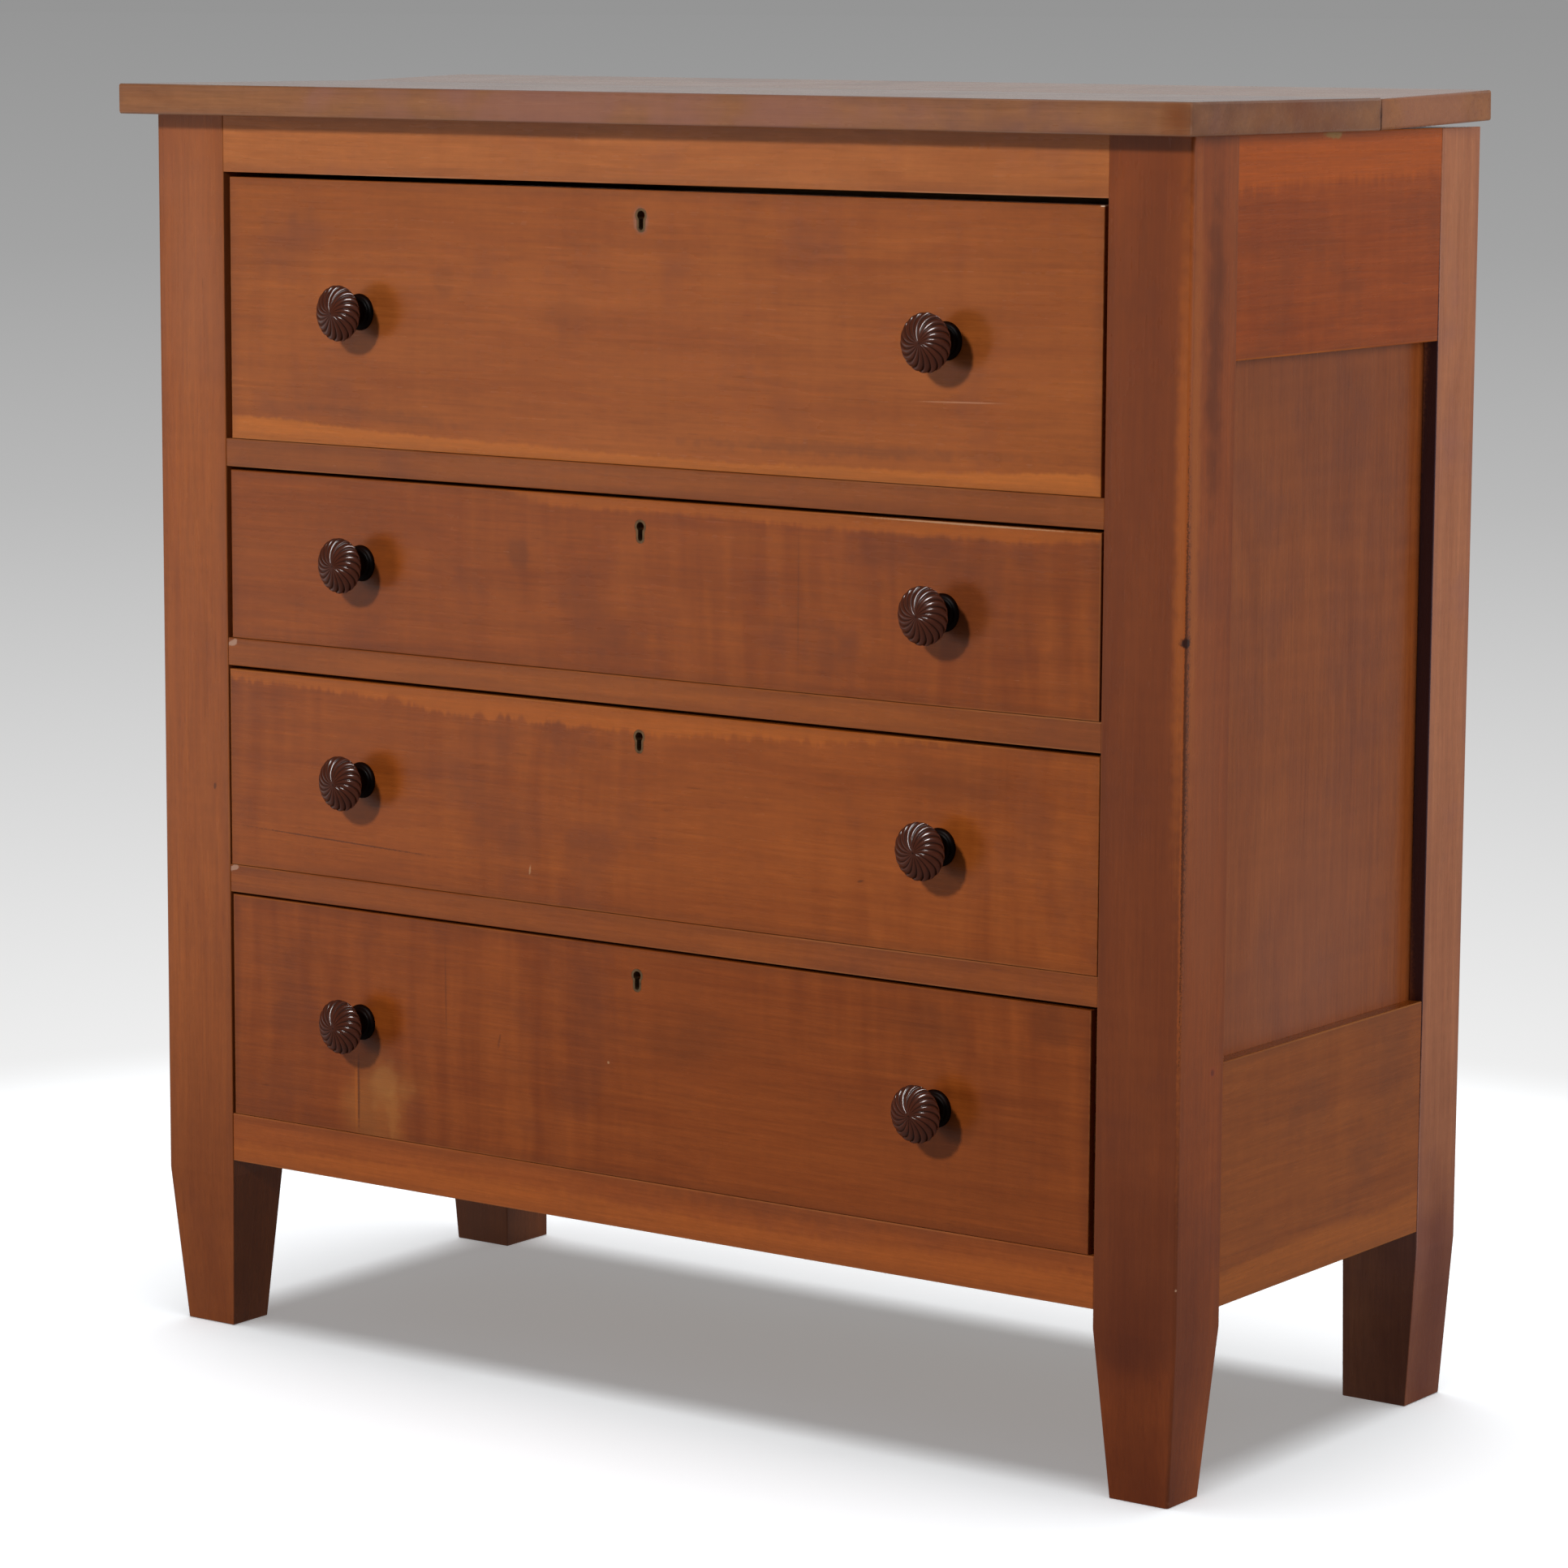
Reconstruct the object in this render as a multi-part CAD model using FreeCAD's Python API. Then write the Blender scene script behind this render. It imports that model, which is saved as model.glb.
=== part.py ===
"""A four-drawer bachelors chest of solid cherry, built as a joiner builds it.

Units are millimetres. X runs from left to right as one faces the drawers, Y from front to
back and Z up. The pieces are worked out with the front faces of the posts at Y = 0 and the
floor at Z = 0, and save() moves them so that the origin is on the floor, midway between the
knobs and the back.
"""
import FreeCAD, Part
import math
import os

V = FreeCAD.Vector

# ---------------------------------------------------------------- case
CASE_WIDTH = 972.0            # over the outer faces of the posts
CASE_DEPTH = 420.0            # front faces of the front posts to back faces of the rear posts
CASE_HEIGHT = 992.0           # floor to the underside of the top
LEG_CLEARANCE = 142.0         # floor to the underside of the case

# ---------------------------------------------------------------- posts and legs
FRONT_POST_WIDTH = 70.0       # across the front
FRONT_POST_DEPTH = 62.0       # front to back
REAR_POST_WIDTH = 66.0
REAR_POST_DEPTH = 61.0
FRONT_LEG_TAPERS = (10.0, 10.0, 10.0, 10.0)  # taken off a leg's faces by the time it meets the
REAR_LEG_TAPERS = (0.0, 10.5, 5.0, 0.0)      # floor: inner side, outer side, front and back face
LEG_STRAIGHT_DROP = 14.0      # square stretch of post below the rails, before the taper
POST_OUTER_ROUND = 2.5        # worn outer corner of each post
POST_EDGE_ROUND = 0.8         # the other corners of each post that show

# ---------------------------------------------------------------- front rails, from the top down
TOP_RAIL_HEIGHT = 45.0
TOP_RAIL_BACK = 30.0          # posts' front faces to the top rail's back face
DRAWER_RAIL_HEIGHT = 22.5
BOTTOM_RAIL_HEIGHT = 39.5
DRAWER_2_OPENING = 138.5      # the top drawer takes the height that is left
DRAWER_3_OPENING = 163.0
DRAWER_4_OPENING = 184.0
RAIL_SETBACK = 0.5            # rails lie this far inside the faces of the posts
RAIL_TENON_LENGTH = 25.0
RAIL_TENON_SHOULDER = 6.0     # above and below each front rail's tenon
RAIL_TENON_CHEEK = 9.0        # in front of and behind each front rail's tenon
MORTISE_END_GAP = 1.0         # glue space beyond the end of a tenon

# ---------------------------------------------------------------- sides
SIDE_TOP_RAIL_HEIGHT = 160.0
SIDE_BOTTOM_RAIL_HEIGHT = 182.0
SIDE_RAIL_THICKNESS = 30.0
SIDE_TENON_LENGTH = 28.0
SIDE_TENON_SHOULDER = 20.0
PANEL_THICKNESS = 10.0
PANEL_RECESS = 12.0           # post face to panel face
PANEL_GROOVE = 8.0            # depth of the groove that holds the panel's edges
PANEL_EDGE_GAP = 0.8          # room for the panel to swell in its grooves

# ---------------------------------------------------------------- back
REAR_RAIL_THICKNESS = 22.0
REAR_TOP_RAIL_HEIGHT = 60.0
REAR_BOTTOM_RAIL_HEIGHT = 60.0
REAR_TENON_THICKNESS = 10.0
BACK_BOARD_THICKNESS = 12.0
BACK_BOARD_COUNT = 4
BACK_REBATE_WIDTH = 14.0      # how far the back boards lap onto each rear post
BACK_LAP = 8.0                # half-lap between neighbouring back boards
BACK_BOARD_GAP = 0.5

# ---------------------------------------------------------------- top
TOP_FRONT_THICKNESS = 24.0
TOP_REAR_THICKNESS = 23.0
TOP_SIDE_OVERHANG = 15.0
TOP_FRONT_OVERHANG = 29.0
TOP_BACK_SETBACK = 12.0       # back edge of the top, in front of the posts' back faces
TOP_SEAM_FROM_FRONT = 237.0   # posts' front faces to the seam between the two boards
TOP_SEAM_GAP = 1.5            # the old glue joint has opened
TOP_REAR_LIFT = 5.0           # the cupped rear board has risen this far at its back edge
TOP_EDGE_ROUND = 2.0

# ---------------------------------------------------------------- top screws
SCREW_SHANK_RADIUS = 2.4
SCREW_HEAD_RADIUS = 4.6
SCREW_HEAD_HEIGHT = 3.0
SCREW_SLOT_WIDTH = 1.2
SCREW_SLOT_DEPTH = 1.2
SCREW_GRIP = 22.0             # wood between the head and the underside of the top
SCREW_BITE = 15.0             # thread in the top
SCREW_CLEARANCE = 0.1
SCREW_POCKET_RADIUS = 7.0
SCREW_POCKET_HEIGHT = 44.0    # pocket cut in the inner face of a side rail
FRONT_SCREW_OFFSET = 250.0    # front rail screws, from the middle
SIDE_SCREW_FRONT = 110.0      # first screw in each side rail, from the posts' front faces
SIDE_SCREW_BEFORE_SEAM = 32.0
SIDE_SCREW_BEHIND_SEAM = 25.0

# ---------------------------------------------------------------- runners, guides, kickers, stops
RUNNER_HEIGHT = 20.0
RUNNER_INBOARD = 32.0         # how far a runner reaches inside the posts
RUNNER_TONGUE = 10.0          # its tongue into the rail in front
RUNNER_TONGUE_HEIGHT = 9.0
RUNNER_TONGUE_INSET = 4.0
RUNNER_TENON = 12.0           # its tenon into the rear post
GUIDE_WIDTH = 20.0
GUIDE_HEIGHT = 18.0
STOP_LENGTH = 36.0
STOP_DEPTH = 20.0
STOP_HEIGHT = 5.0
STOP_OFFSET = 230.0           # each stop's middle, from the middle of the chest
STOP_GAP = 0.3

# ---------------------------------------------------------------- drawers
DRAWER_SETBACK = 0.5
DRAWER_RUN_GAP = 0.3          # under a drawer, above its runners
DRAWER_1_LEFT_GAP = 6.4       # between each drawer and the posts
DRAWER_1_RIGHT_GAP = 3.2
DRAWER_2_LEFT_GAP = 4.6
DRAWER_2_RIGHT_GAP = 2.1
DRAWER_3_LEFT_GAP = 1.6
DRAWER_3_RIGHT_GAP = 0.8
DRAWER_4_LEFT_GAP = 2.6
DRAWER_4_RIGHT_GAP = 5.2
DRAWER_1_TOP_GAP_LEFT = 3.8   # between each drawer and the rail above it
DRAWER_1_TOP_GAP_RIGHT = 5.2
DRAWER_2_TOP_GAP = 2.6
DRAWER_3_TOP_GAP = 2.8
DRAWER_4_TOP_GAP_LEFT = 1.9
DRAWER_4_TOP_GAP_RIGHT = 2.6
DRAWER_BACK_GAP = 8.5         # behind a shut drawer, in front of the rear posts
DRAWER_FRONT_THICKNESS = 22.0
DRAWER_FRONT_ROUND = 0.8
DRAWER_SIDE_THICKNESS = 11.0
DRAWER_BACK_THICKNESS = 11.0
DRAWER_SIDE_DROP = 2.0        # sides and back stand this much lower than the front
DOVETAIL_LAP = 7.0            # drawer front left in front of the tails
DOVETAIL_PITCH = 38.0
DOVETAIL_PIN = 6.0
DOVETAIL_SLOPE = 6.0          # length over spread
BOTTOM_THICKNESS = 9.0
BOTTOM_EDGE_THICKNESS = 5.5
BOTTOM_BEVEL = 24.0
BOTTOM_GROOVE_DEPTH = 5.0
BOTTOM_GROOVE_HEIGHT = 10.0   # lower edge of the groove, above the drawer's lower edge

# ---------------------------------------------------------------- knobs
KNOB_OFFSET = 277.0           # each knob's axis, from the middle of the drawer
KNOB_PROJECTION = 38.0
KNOB_HEAD_RADIUS = 22.5
KNOB_DOME = 13.5              # equator of the head to its tip
KNOB_TIP_FLAT = 1.0           # radius of the pip that the turner leaves at the tip
KNOB_FLANGE_RADIUS = 18.5
KNOB_FLANGE_THICKNESS = 3.5
KNOB_NECK_RADIUS = 11.0
KNOB_TENON_RADIUS = 8.0
KNOB_TENON_CLEARANCE = 0.1
DOME_STEPS = 6
COVE_START = (-1.0, -0.15, 0.0)   # way the neck's curve leaves the flange
COVE_END = (0.25, -1.0, 0.0)      # way it meets the head's equator

# ---------------------------------------------------------------- locks and keyholes
KEYHOLE_DROP = 27.0           # top of the opening to the middle of the keyhole
KEYHOLE_HEIGHT = 14.5
KEYHOLE_HEAD_RADIUS = 3.5
KEYHOLE_SLOT_WIDTH = 4.2
ESCUTCHEON_WALL = 1.8
ESCUTCHEON_DEPTH = 6.0
ESCUTCHEON_CLEARANCE = 0.1
LOCK_PLATE_WIDTH = 66.0
LOCK_PLATE_HEIGHT = 46.0
LOCK_PLATE_THICKNESS = 2.0
LOCK_BOX_WIDTH = 48.0
LOCK_BOX_HEIGHT = 40.0
LOCK_BOX_DEPTH = 10.0
LOCK_WALL = 1.5
LOCK_SCREW_RADIUS = 1.5
LOCK_SCREW_HEAD_RADIUS = 2.8
LOCK_SCREW_LENGTH = 12.0
LOCK_SCREW_INSET = 4.5        # lock screws, from the edges of the plate
BOLT_WIDTH = 24.0
BOLT_THICKNESS = 6.0
BOLT_HEIGHT = 26.0
BOLT_THROW = 8.0
BOLT_CLEARANCE = 0.3
BOLT_NOTCH_WIDTH = 11.0
BOLT_MORTISE_CLEARANCE = 1.5

# ---------------------------------------------------------------- cutting
CUT_PAST = 1.0                # how far a cut runs on past the faces it opens

# ---------------------------------------------------------------- worked-out planes
HALF_WIDTH = CASE_WIDTH / 2
CASE_BOTTOM = LEG_CLEARANCE
CASE_TOP = CASE_HEIGHT
TOP_RAIL_BOTTOM = CASE_TOP - TOP_RAIL_HEIGHT
DRAWER_RAIL_BACK = FRONT_POST_DEPTH - RAIL_SETBACK
DRAWER_4_FLOOR = CASE_BOTTOM + BOTTOM_RAIL_HEIGHT
DRAWER_3_FLOOR = DRAWER_4_FLOOR + DRAWER_4_OPENING + DRAWER_RAIL_HEIGHT
DRAWER_2_FLOOR = DRAWER_3_FLOOR + DRAWER_3_OPENING + DRAWER_RAIL_HEIGHT
DRAWER_1_FLOOR = DRAWER_2_FLOOR + DRAWER_2_OPENING + DRAWER_RAIL_HEIGHT
DRAWER_1_OPENING = TOP_RAIL_BOTTOM - DRAWER_1_FLOOR

OPENING_HALF = HALF_WIDTH - FRONT_POST_WIDTH
REAR_OPENING_HALF = HALF_WIDTH - REAR_POST_WIDTH
REAR_POST_FRONT = CASE_DEPTH - REAR_POST_DEPTH
BACK_BOARD_FRONT = CASE_DEPTH - BACK_BOARD_THICKNESS
REAR_RAIL_FRONT = BACK_BOARD_FRONT - REAR_RAIL_THICKNESS

SIDE_RAIL_OUTER = HALF_WIDTH - RAIL_SETBACK
SIDE_RAIL_INNER = SIDE_RAIL_OUTER - SIDE_RAIL_THICKNESS
PANEL_OUTER = HALF_WIDTH - PANEL_RECESS
PANEL_INNER = PANEL_OUTER - PANEL_THICKNESS
PANEL_TOP = CASE_TOP - SIDE_TOP_RAIL_HEIGHT
PANEL_BOTTOM = CASE_BOTTOM + SIDE_BOTTOM_RAIL_HEIGHT

DRAWER_FACE = DRAWER_SETBACK
DRAWER_INNER_FACE = DRAWER_FACE + DRAWER_FRONT_THICKNESS
DRAWER_END = REAR_POST_FRONT - DRAWER_BACK_GAP
DRAWER_BACK_FACE = DRAWER_END - DRAWER_BACK_THICKNESS

LOCK_BOX_FRONT = DRAWER_INNER_FACE - LOCK_PLATE_THICKNESS - LOCK_BOX_DEPTH
BOLT_FRONT = LOCK_BOX_FRONT + (LOCK_BOX_DEPTH - BOLT_THICKNESS) / 2
BOLT_BACK = BOLT_FRONT + BOLT_THICKNESS

KNOB_TIP = DRAWER_FACE - KNOB_PROJECTION
ORIGIN_SHIFT = V(0, -(KNOB_TIP + CASE_DEPTH) / 2, 0)


# ---------------------------------------------------------------- helpers
def block(x, y, z):
    """A box between pairs of planes, each pair in any order."""
    low = V(min(x), min(y), min(z))
    return Part.makeBox(max(x) - low.x, max(y) - low.y, max(z) - low.z, low)


def prism(points, along):
    """A polygon of (x, y, z) points, swept along a vector."""
    corners = [V(*point) for point in points]
    return Part.Face(Part.makePolygon(corners + corners[:1])).extrude(V(*along))


def rod(radius, start, along):
    """A round bar from a point along a vector."""
    return Part.makeCylinder(radius, V(*along).Length, V(*start), V(*along))


def soften(shape, radius, chosen):
    """Round each edge whose middle the chosen test accepts."""
    edges = [edge for edge in shape.Edges if chosen(edge.CenterOfMass)]
    return shape.makeFillet(radius, edges)


def near(value, plane):
    return abs(value - plane) < 0.01


def mirrored(shape):
    """The same piece on the other side of the chest."""
    return shape.mirror(V(0, 0, 0), V(1, 0, 0))


def both_sides(shape):
    return [mirrored(shape), shape]


def save(node, solids):
    """Write one node, a single solid or a group of separate ones, in the part's own frame."""
    group = solids if isinstance(solids, list) else [solids]
    moved = []
    for solid in group:
        copy = solid.copy()
        copy.translate(ORIGIN_SHIFT)
        moved.append(copy)
    shape = moved[0] if len(moved) == 1 else Part.makeCompound(moved)
    shape.exportStep("parts/%s.step" % node)


# ---------------------------------------------------------------- drawer openings
class Opening:
    """One drawer's opening in the case, and the gaps that its drawer leaves.

    side_gaps and top_gaps are each a pair, at the left and at the right. A drawer is built
    about the plane X = 0, and shift is how far it then moves sideways to leave its side gaps.
    """

    def __init__(self, number, floor, height, side_gaps, top_gaps):
        self.number = number
        self.floor = floor
        self.ceiling = floor + height
        self.middle = floor + height / 2
        self.half = OPENING_HALF - sum(side_gaps) / 2
        self.inside_half = self.half - DRAWER_SIDE_THICKNESS
        self.shift = (side_gaps[0] - side_gaps[1]) / 2
        self.drawer_low = floor + DRAWER_RUN_GAP
        self.top_gaps = top_gaps
        self.side_top = self.ceiling - max(top_gaps) - DRAWER_SIDE_DROP
        self.key_middle = self.ceiling - KEYHOLE_DROP
        self.key_axis = self.key_middle + KEYHOLE_HEIGHT / 2 - KEYHOLE_HEAD_RADIUS
        self.lock_top = min(self.front_top(-LOCK_PLATE_WIDTH / 2),
                            self.front_top(LOCK_PLATE_WIDTH / 2))
        self.groove = self.drawer_low + BOTTOM_GROOVE_HEIGHT
        self.bottom_top = self.groove + BOTTOM_EDGE_THICKNESS

    def front_top(self, x):
        """Height of the drawer front's top edge at a place across the drawer."""
        share = (x + self.half) / (2 * self.half)
        return self.ceiling - self.top_gaps[0] - share * (self.top_gaps[1] - self.top_gaps[0])


OPENINGS = [
    Opening(1, DRAWER_1_FLOOR, DRAWER_1_OPENING, (DRAWER_1_LEFT_GAP, DRAWER_1_RIGHT_GAP),
            (DRAWER_1_TOP_GAP_LEFT, DRAWER_1_TOP_GAP_RIGHT)),
    Opening(2, DRAWER_2_FLOOR, DRAWER_2_OPENING, (DRAWER_2_LEFT_GAP, DRAWER_2_RIGHT_GAP),
            (DRAWER_2_TOP_GAP, DRAWER_2_TOP_GAP)),
    Opening(3, DRAWER_3_FLOOR, DRAWER_3_OPENING, (DRAWER_3_LEFT_GAP, DRAWER_3_RIGHT_GAP),
            (DRAWER_3_TOP_GAP, DRAWER_3_TOP_GAP)),
    Opening(4, DRAWER_4_FLOOR, DRAWER_4_OPENING, (DRAWER_4_LEFT_GAP, DRAWER_4_RIGHT_GAP),
            (DRAWER_4_TOP_GAP_LEFT, DRAWER_4_TOP_GAP_RIGHT)),
]


# ---------------------------------------------------------------- front rails
def rail_tenon(side, low, high, back, end_gap=0.0):
    """A front rail's tenon on one side; with an end gap, the mortise that takes it."""
    reach = OPENING_HALF + RAIL_TENON_LENGTH + end_gap
    return block((side * OPENING_HALF, side * reach),
                 (RAIL_SETBACK + RAIL_TENON_CHEEK, back - RAIL_TENON_CHEEK),
                 (low + RAIL_TENON_SHOULDER, high - RAIL_TENON_SHOULDER))


def bolt_mortise(opening):
    """The slot that takes a lock bolt, in the underside of the rail above its drawer."""
    half = BOLT_WIDTH / 2 + BOLT_MORTISE_CLEARANCE
    return block((opening.shift - half, opening.shift + half),
                 (BOLT_FRONT - BOLT_MORTISE_CLEARANCE, BOLT_BACK + BOLT_MORTISE_CLEARANCE),
                 (opening.ceiling, opening.ceiling + BOLT_THROW))


def front_rail(low, high, back):
    rail = block((-OPENING_HALF, OPENING_HALF), (RAIL_SETBACK, back), (low, high))
    tenons = [rail_tenon(side, low, high, back) for side in (-1, 1)]
    return rail.multiFuse(tenons).removeSplitter()


def front_rail_spans():
    """Low and high edge and back plane of each front rail, by node name."""
    spans = {"top_rail": (TOP_RAIL_BOTTOM, CASE_TOP, TOP_RAIL_BACK)}
    for opening in OPENINGS[:3]:
        low = opening.floor - DRAWER_RAIL_HEIGHT
        spans["drawer_rail_%d" % opening.number] = (low, opening.floor, DRAWER_RAIL_BACK)
    spans["bottom_rail"] = (CASE_BOTTOM, DRAWER_4_FLOOR, DRAWER_RAIL_BACK)
    return spans


def build_front_rails():
    names = list(front_rail_spans())
    for index, name in enumerate(names):
        low, high, back = front_rail_spans()[name]
        cuts = []
        if name != "bottom_rail":
            cuts.append(bolt_mortise(OPENINGS[index]))
        if name == "top_rail":
            cuts += both_sides(kicker_tongue())
            cuts += [front_screw_hole(x) for x in (-FRONT_SCREW_OFFSET, FRONT_SCREW_OFFSET)]
        else:
            cuts += both_sides(runner_tongue(OPENINGS[index - 1].floor))
        save(name, front_rail(low, high, back).cut(cuts))


# ---------------------------------------------------------------- runners, guides, kickers, stops
def runner_tongue(top):
    """The tongue at the front of a right-hand runner whose upper face is at the height top."""
    inner = OPENING_HALF - RUNNER_INBOARD
    middle = top - RUNNER_HEIGHT / 2
    return block((inner + RUNNER_TONGUE_INSET, OPENING_HALF - RUNNER_TONGUE_INSET),
                 (DRAWER_RAIL_BACK - RUNNER_TONGUE, DRAWER_RAIL_BACK),
                 (middle - RUNNER_TONGUE_HEIGHT / 2, middle + RUNNER_TONGUE_HEIGHT / 2))


def kicker_tongue():
    inner = OPENING_HALF - RUNNER_INBOARD
    middle = TOP_RAIL_BOTTOM + RUNNER_HEIGHT / 2
    return block((inner + RUNNER_TONGUE_INSET, OPENING_HALF - RUNNER_TONGUE_INSET),
                 (TOP_RAIL_BACK - RUNNER_TONGUE, TOP_RAIL_BACK),
                 (middle - RUNNER_TONGUE_HEIGHT / 2, middle + RUNNER_TONGUE_HEIGHT / 2))


def rear_tenon(low, end_gap=0.0):
    """The tenon of a right-hand runner or kicker in the rear post, or its mortise."""
    return block((REAR_OPENING_HALF + RUNNER_TONGUE_INSET, SIDE_RAIL_INNER - RUNNER_TONGUE_INSET),
                 (REAR_POST_FRONT, REAR_POST_FRONT + RUNNER_TENON + end_gap),
                 (low, low + RUNNER_HEIGHT))


def runner(top):
    """A right-hand runner: the strip that a drawer's side slides on."""
    low = top - RUNNER_HEIGHT
    inner = OPENING_HALF - RUNNER_INBOARD
    bar = block((inner, OPENING_HALF), (DRAWER_RAIL_BACK, REAR_POST_FRONT), (low, top))
    beside_post = block((OPENING_HALF, SIDE_RAIL_INNER), (FRONT_POST_DEPTH, REAR_POST_FRONT),
                        (low, top))
    return bar.multiFuse([beside_post, runner_tongue(top), rear_tenon(low)]).removeSplitter()


def kicker():
    """The strip above the top drawer that keeps it from tipping as it is pulled out."""
    low = TOP_RAIL_BOTTOM
    high = low + RUNNER_HEIGHT
    inner = OPENING_HALF - RUNNER_INBOARD
    bar = block((inner, OPENING_HALF), (TOP_RAIL_BACK, REAR_POST_FRONT), (low, high))
    beside_post = block((OPENING_HALF, SIDE_RAIL_INNER), (FRONT_POST_DEPTH, REAR_POST_FRONT),
                        (low, high))
    return bar.multiFuse([beside_post, kicker_tongue(), rear_tenon(low)]).removeSplitter()


def guide(floor):
    """The strip on a runner that keeps the drawer straight, in line with the front post."""
    return block((OPENING_HALF, OPENING_HALF + GUIDE_WIDTH), (FRONT_POST_DEPTH, REAR_POST_FRONT),
                 (floor, floor + GUIDE_HEIGHT))


def stop(floor):
    """The block on a rail that a drawer's front meets when it is shut."""
    front = DRAWER_INNER_FACE + STOP_GAP
    return block((STOP_OFFSET - STOP_LENGTH / 2, STOP_OFFSET + STOP_LENGTH / 2),
                 (front, front + STOP_DEPTH), (floor, floor + STOP_HEIGHT))


def build_drawer_carriers():
    floors = [opening.floor for opening in OPENINGS]
    carriers = both_sides(kicker())
    for floor in floors:
        carriers += both_sides(runner(floor))
    save("runners_and_kickers", carriers)
    save("drawer_guides", [piece for floor in floors for piece in both_sides(guide(floor))])
    save("drawer_stops", [piece for floor in floors for piece in both_sides(stop(floor))])


# ---------------------------------------------------------------- side frames
def side_tenon(low, high, at_back, end_gap=0.0):
    """A right-hand side rail's tenon at its front or back end, or its mortise."""
    length = SIDE_TENON_LENGTH + end_gap
    if at_back:
        span = (REAR_POST_FRONT, REAR_POST_FRONT + length)
    else:
        span = (FRONT_POST_DEPTH - length, FRONT_POST_DEPTH)
    return block((PANEL_INNER, PANEL_OUTER), span,
                 (low + SIDE_TENON_SHOULDER, high - SIDE_TENON_SHOULDER))


def panel_groove():
    """The groove that runs round the frame, as the block that fills it."""
    return block((PANEL_INNER, PANEL_OUTER),
                 (FRONT_POST_DEPTH - PANEL_GROOVE, REAR_POST_FRONT + PANEL_GROOVE),
                 (PANEL_BOTTOM - PANEL_GROOVE, PANEL_TOP + PANEL_GROOVE))


def side_rail(low, high):
    rail = block((SIDE_RAIL_INNER, SIDE_RAIL_OUTER), (FRONT_POST_DEPTH, REAR_POST_FRONT), (low, high))
    tenons = [side_tenon(low, high, at_back) for at_back in (False, True)]
    return rail.multiFuse(tenons).removeSplitter()


def side_panel():
    gap = PANEL_EDGE_GAP
    return block((PANEL_INNER, PANEL_OUTER),
                 (FRONT_POST_DEPTH - PANEL_GROOVE + gap, REAR_POST_FRONT + PANEL_GROOVE - gap),
                 (PANEL_BOTTOM - PANEL_GROOVE + gap, PANEL_TOP + PANEL_GROOVE - gap))


def build_sides():
    top_rail = side_rail(PANEL_TOP, CASE_TOP)
    top_rail = top_rail.cut([panel_groove()] + [side_screw_hole(y) for y in side_screw_rows()])
    bottom_rail = side_rail(CASE_BOTTOM, PANEL_BOTTOM).cut(panel_groove())
    for name, piece in (("side_top_rail", top_rail), ("side_bottom_rail", bottom_rail),
                        ("side_panel", side_panel())):
        save("left_" + name, mirrored(piece))
        save("right_" + name, piece)


# ---------------------------------------------------------------- back
def rear_rail_tenon(low, high, end_gap=0.0):
    """A rear rail's right-hand tenon, or its mortise."""
    front = REAR_RAIL_FRONT + (REAR_RAIL_THICKNESS - REAR_TENON_THICKNESS) / 2
    return block((REAR_OPENING_HALF, REAR_OPENING_HALF + RAIL_TENON_LENGTH + end_gap),
                 (front, front + REAR_TENON_THICKNESS),
                 (low + RAIL_TENON_SHOULDER, high - RAIL_TENON_SHOULDER))


def rear_rail_spans():
    return {"rear_top_rail": (CASE_TOP - REAR_TOP_RAIL_HEIGHT, CASE_TOP),
            "rear_bottom_rail": (CASE_BOTTOM, CASE_BOTTOM + REAR_BOTTOM_RAIL_HEIGHT)}


def build_rear_rails():
    for name, (low, high) in rear_rail_spans().items():
        rail = block((-REAR_OPENING_HALF, REAR_OPENING_HALF), (REAR_RAIL_FRONT, BACK_BOARD_FRONT),
                     (low, high))
        tenons = both_sides(rear_rail_tenon(low, high))
        save(name, rail.multiFuse(tenons).removeSplitter())


def build_back_boards():
    """Boards across the back, each lapped over the one below it."""
    half = REAR_OPENING_HALF + BACK_REBATE_WIDTH
    pitch = (CASE_TOP - CASE_BOTTOM) / BACK_BOARD_COUNT
    middle = BACK_BOARD_FRONT + BACK_BOARD_THICKNESS / 2
    boards = []
    for index in range(BACK_BOARD_COUNT):
        low = CASE_BOTTOM + index * pitch
        high = low + pitch - BACK_BOARD_GAP
        board = block((-half, half), (BACK_BOARD_FRONT, CASE_DEPTH), (low, high))
        if index < BACK_BOARD_COUNT - 1:
            board = board.cut(block((-half, half), (middle, CASE_DEPTH), (high - BACK_LAP, high)))
        if index > 0:
            lip = block((-half, half), (middle, CASE_DEPTH), (low - BACK_LAP, low))
            board = board.fuse(lip).removeSplitter()
        boards.append(board)
    save("back_boards", boards)


# ---------------------------------------------------------------- posts
def section(x, y, z, rounds):
    """A level rectangle with its own round at each corner, as a closed wire.

    The corners run inner front, outer front, outer back, inner back.
    """
    corners = [V(x[0], y[0], z), V(x[1], y[0], z), V(x[1], y[1], z), V(x[0], y[1], z)]
    edges = []
    starts = []
    ends = []
    for index, corner in enumerate(corners):
        before = (corners[index - 1] - corner).normalize()
        after = (corners[(index + 1) % 4] - corner).normalize()
        radius = rounds[index]
        starts.append(corner + before * radius)
        ends.append(corner + after * radius)
        inside = corner + (before + after) * radius
        crown = inside - (before + after).normalize() * radius
        edges.append(Part.Arc(starts[index], crown, ends[index]).toShape())
    for index in range(4):
        edges.append(Part.makeLine(ends[index], starts[(index + 1) % 4]))
    return Part.Wire(Part.__sortEdges__(edges))


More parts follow.
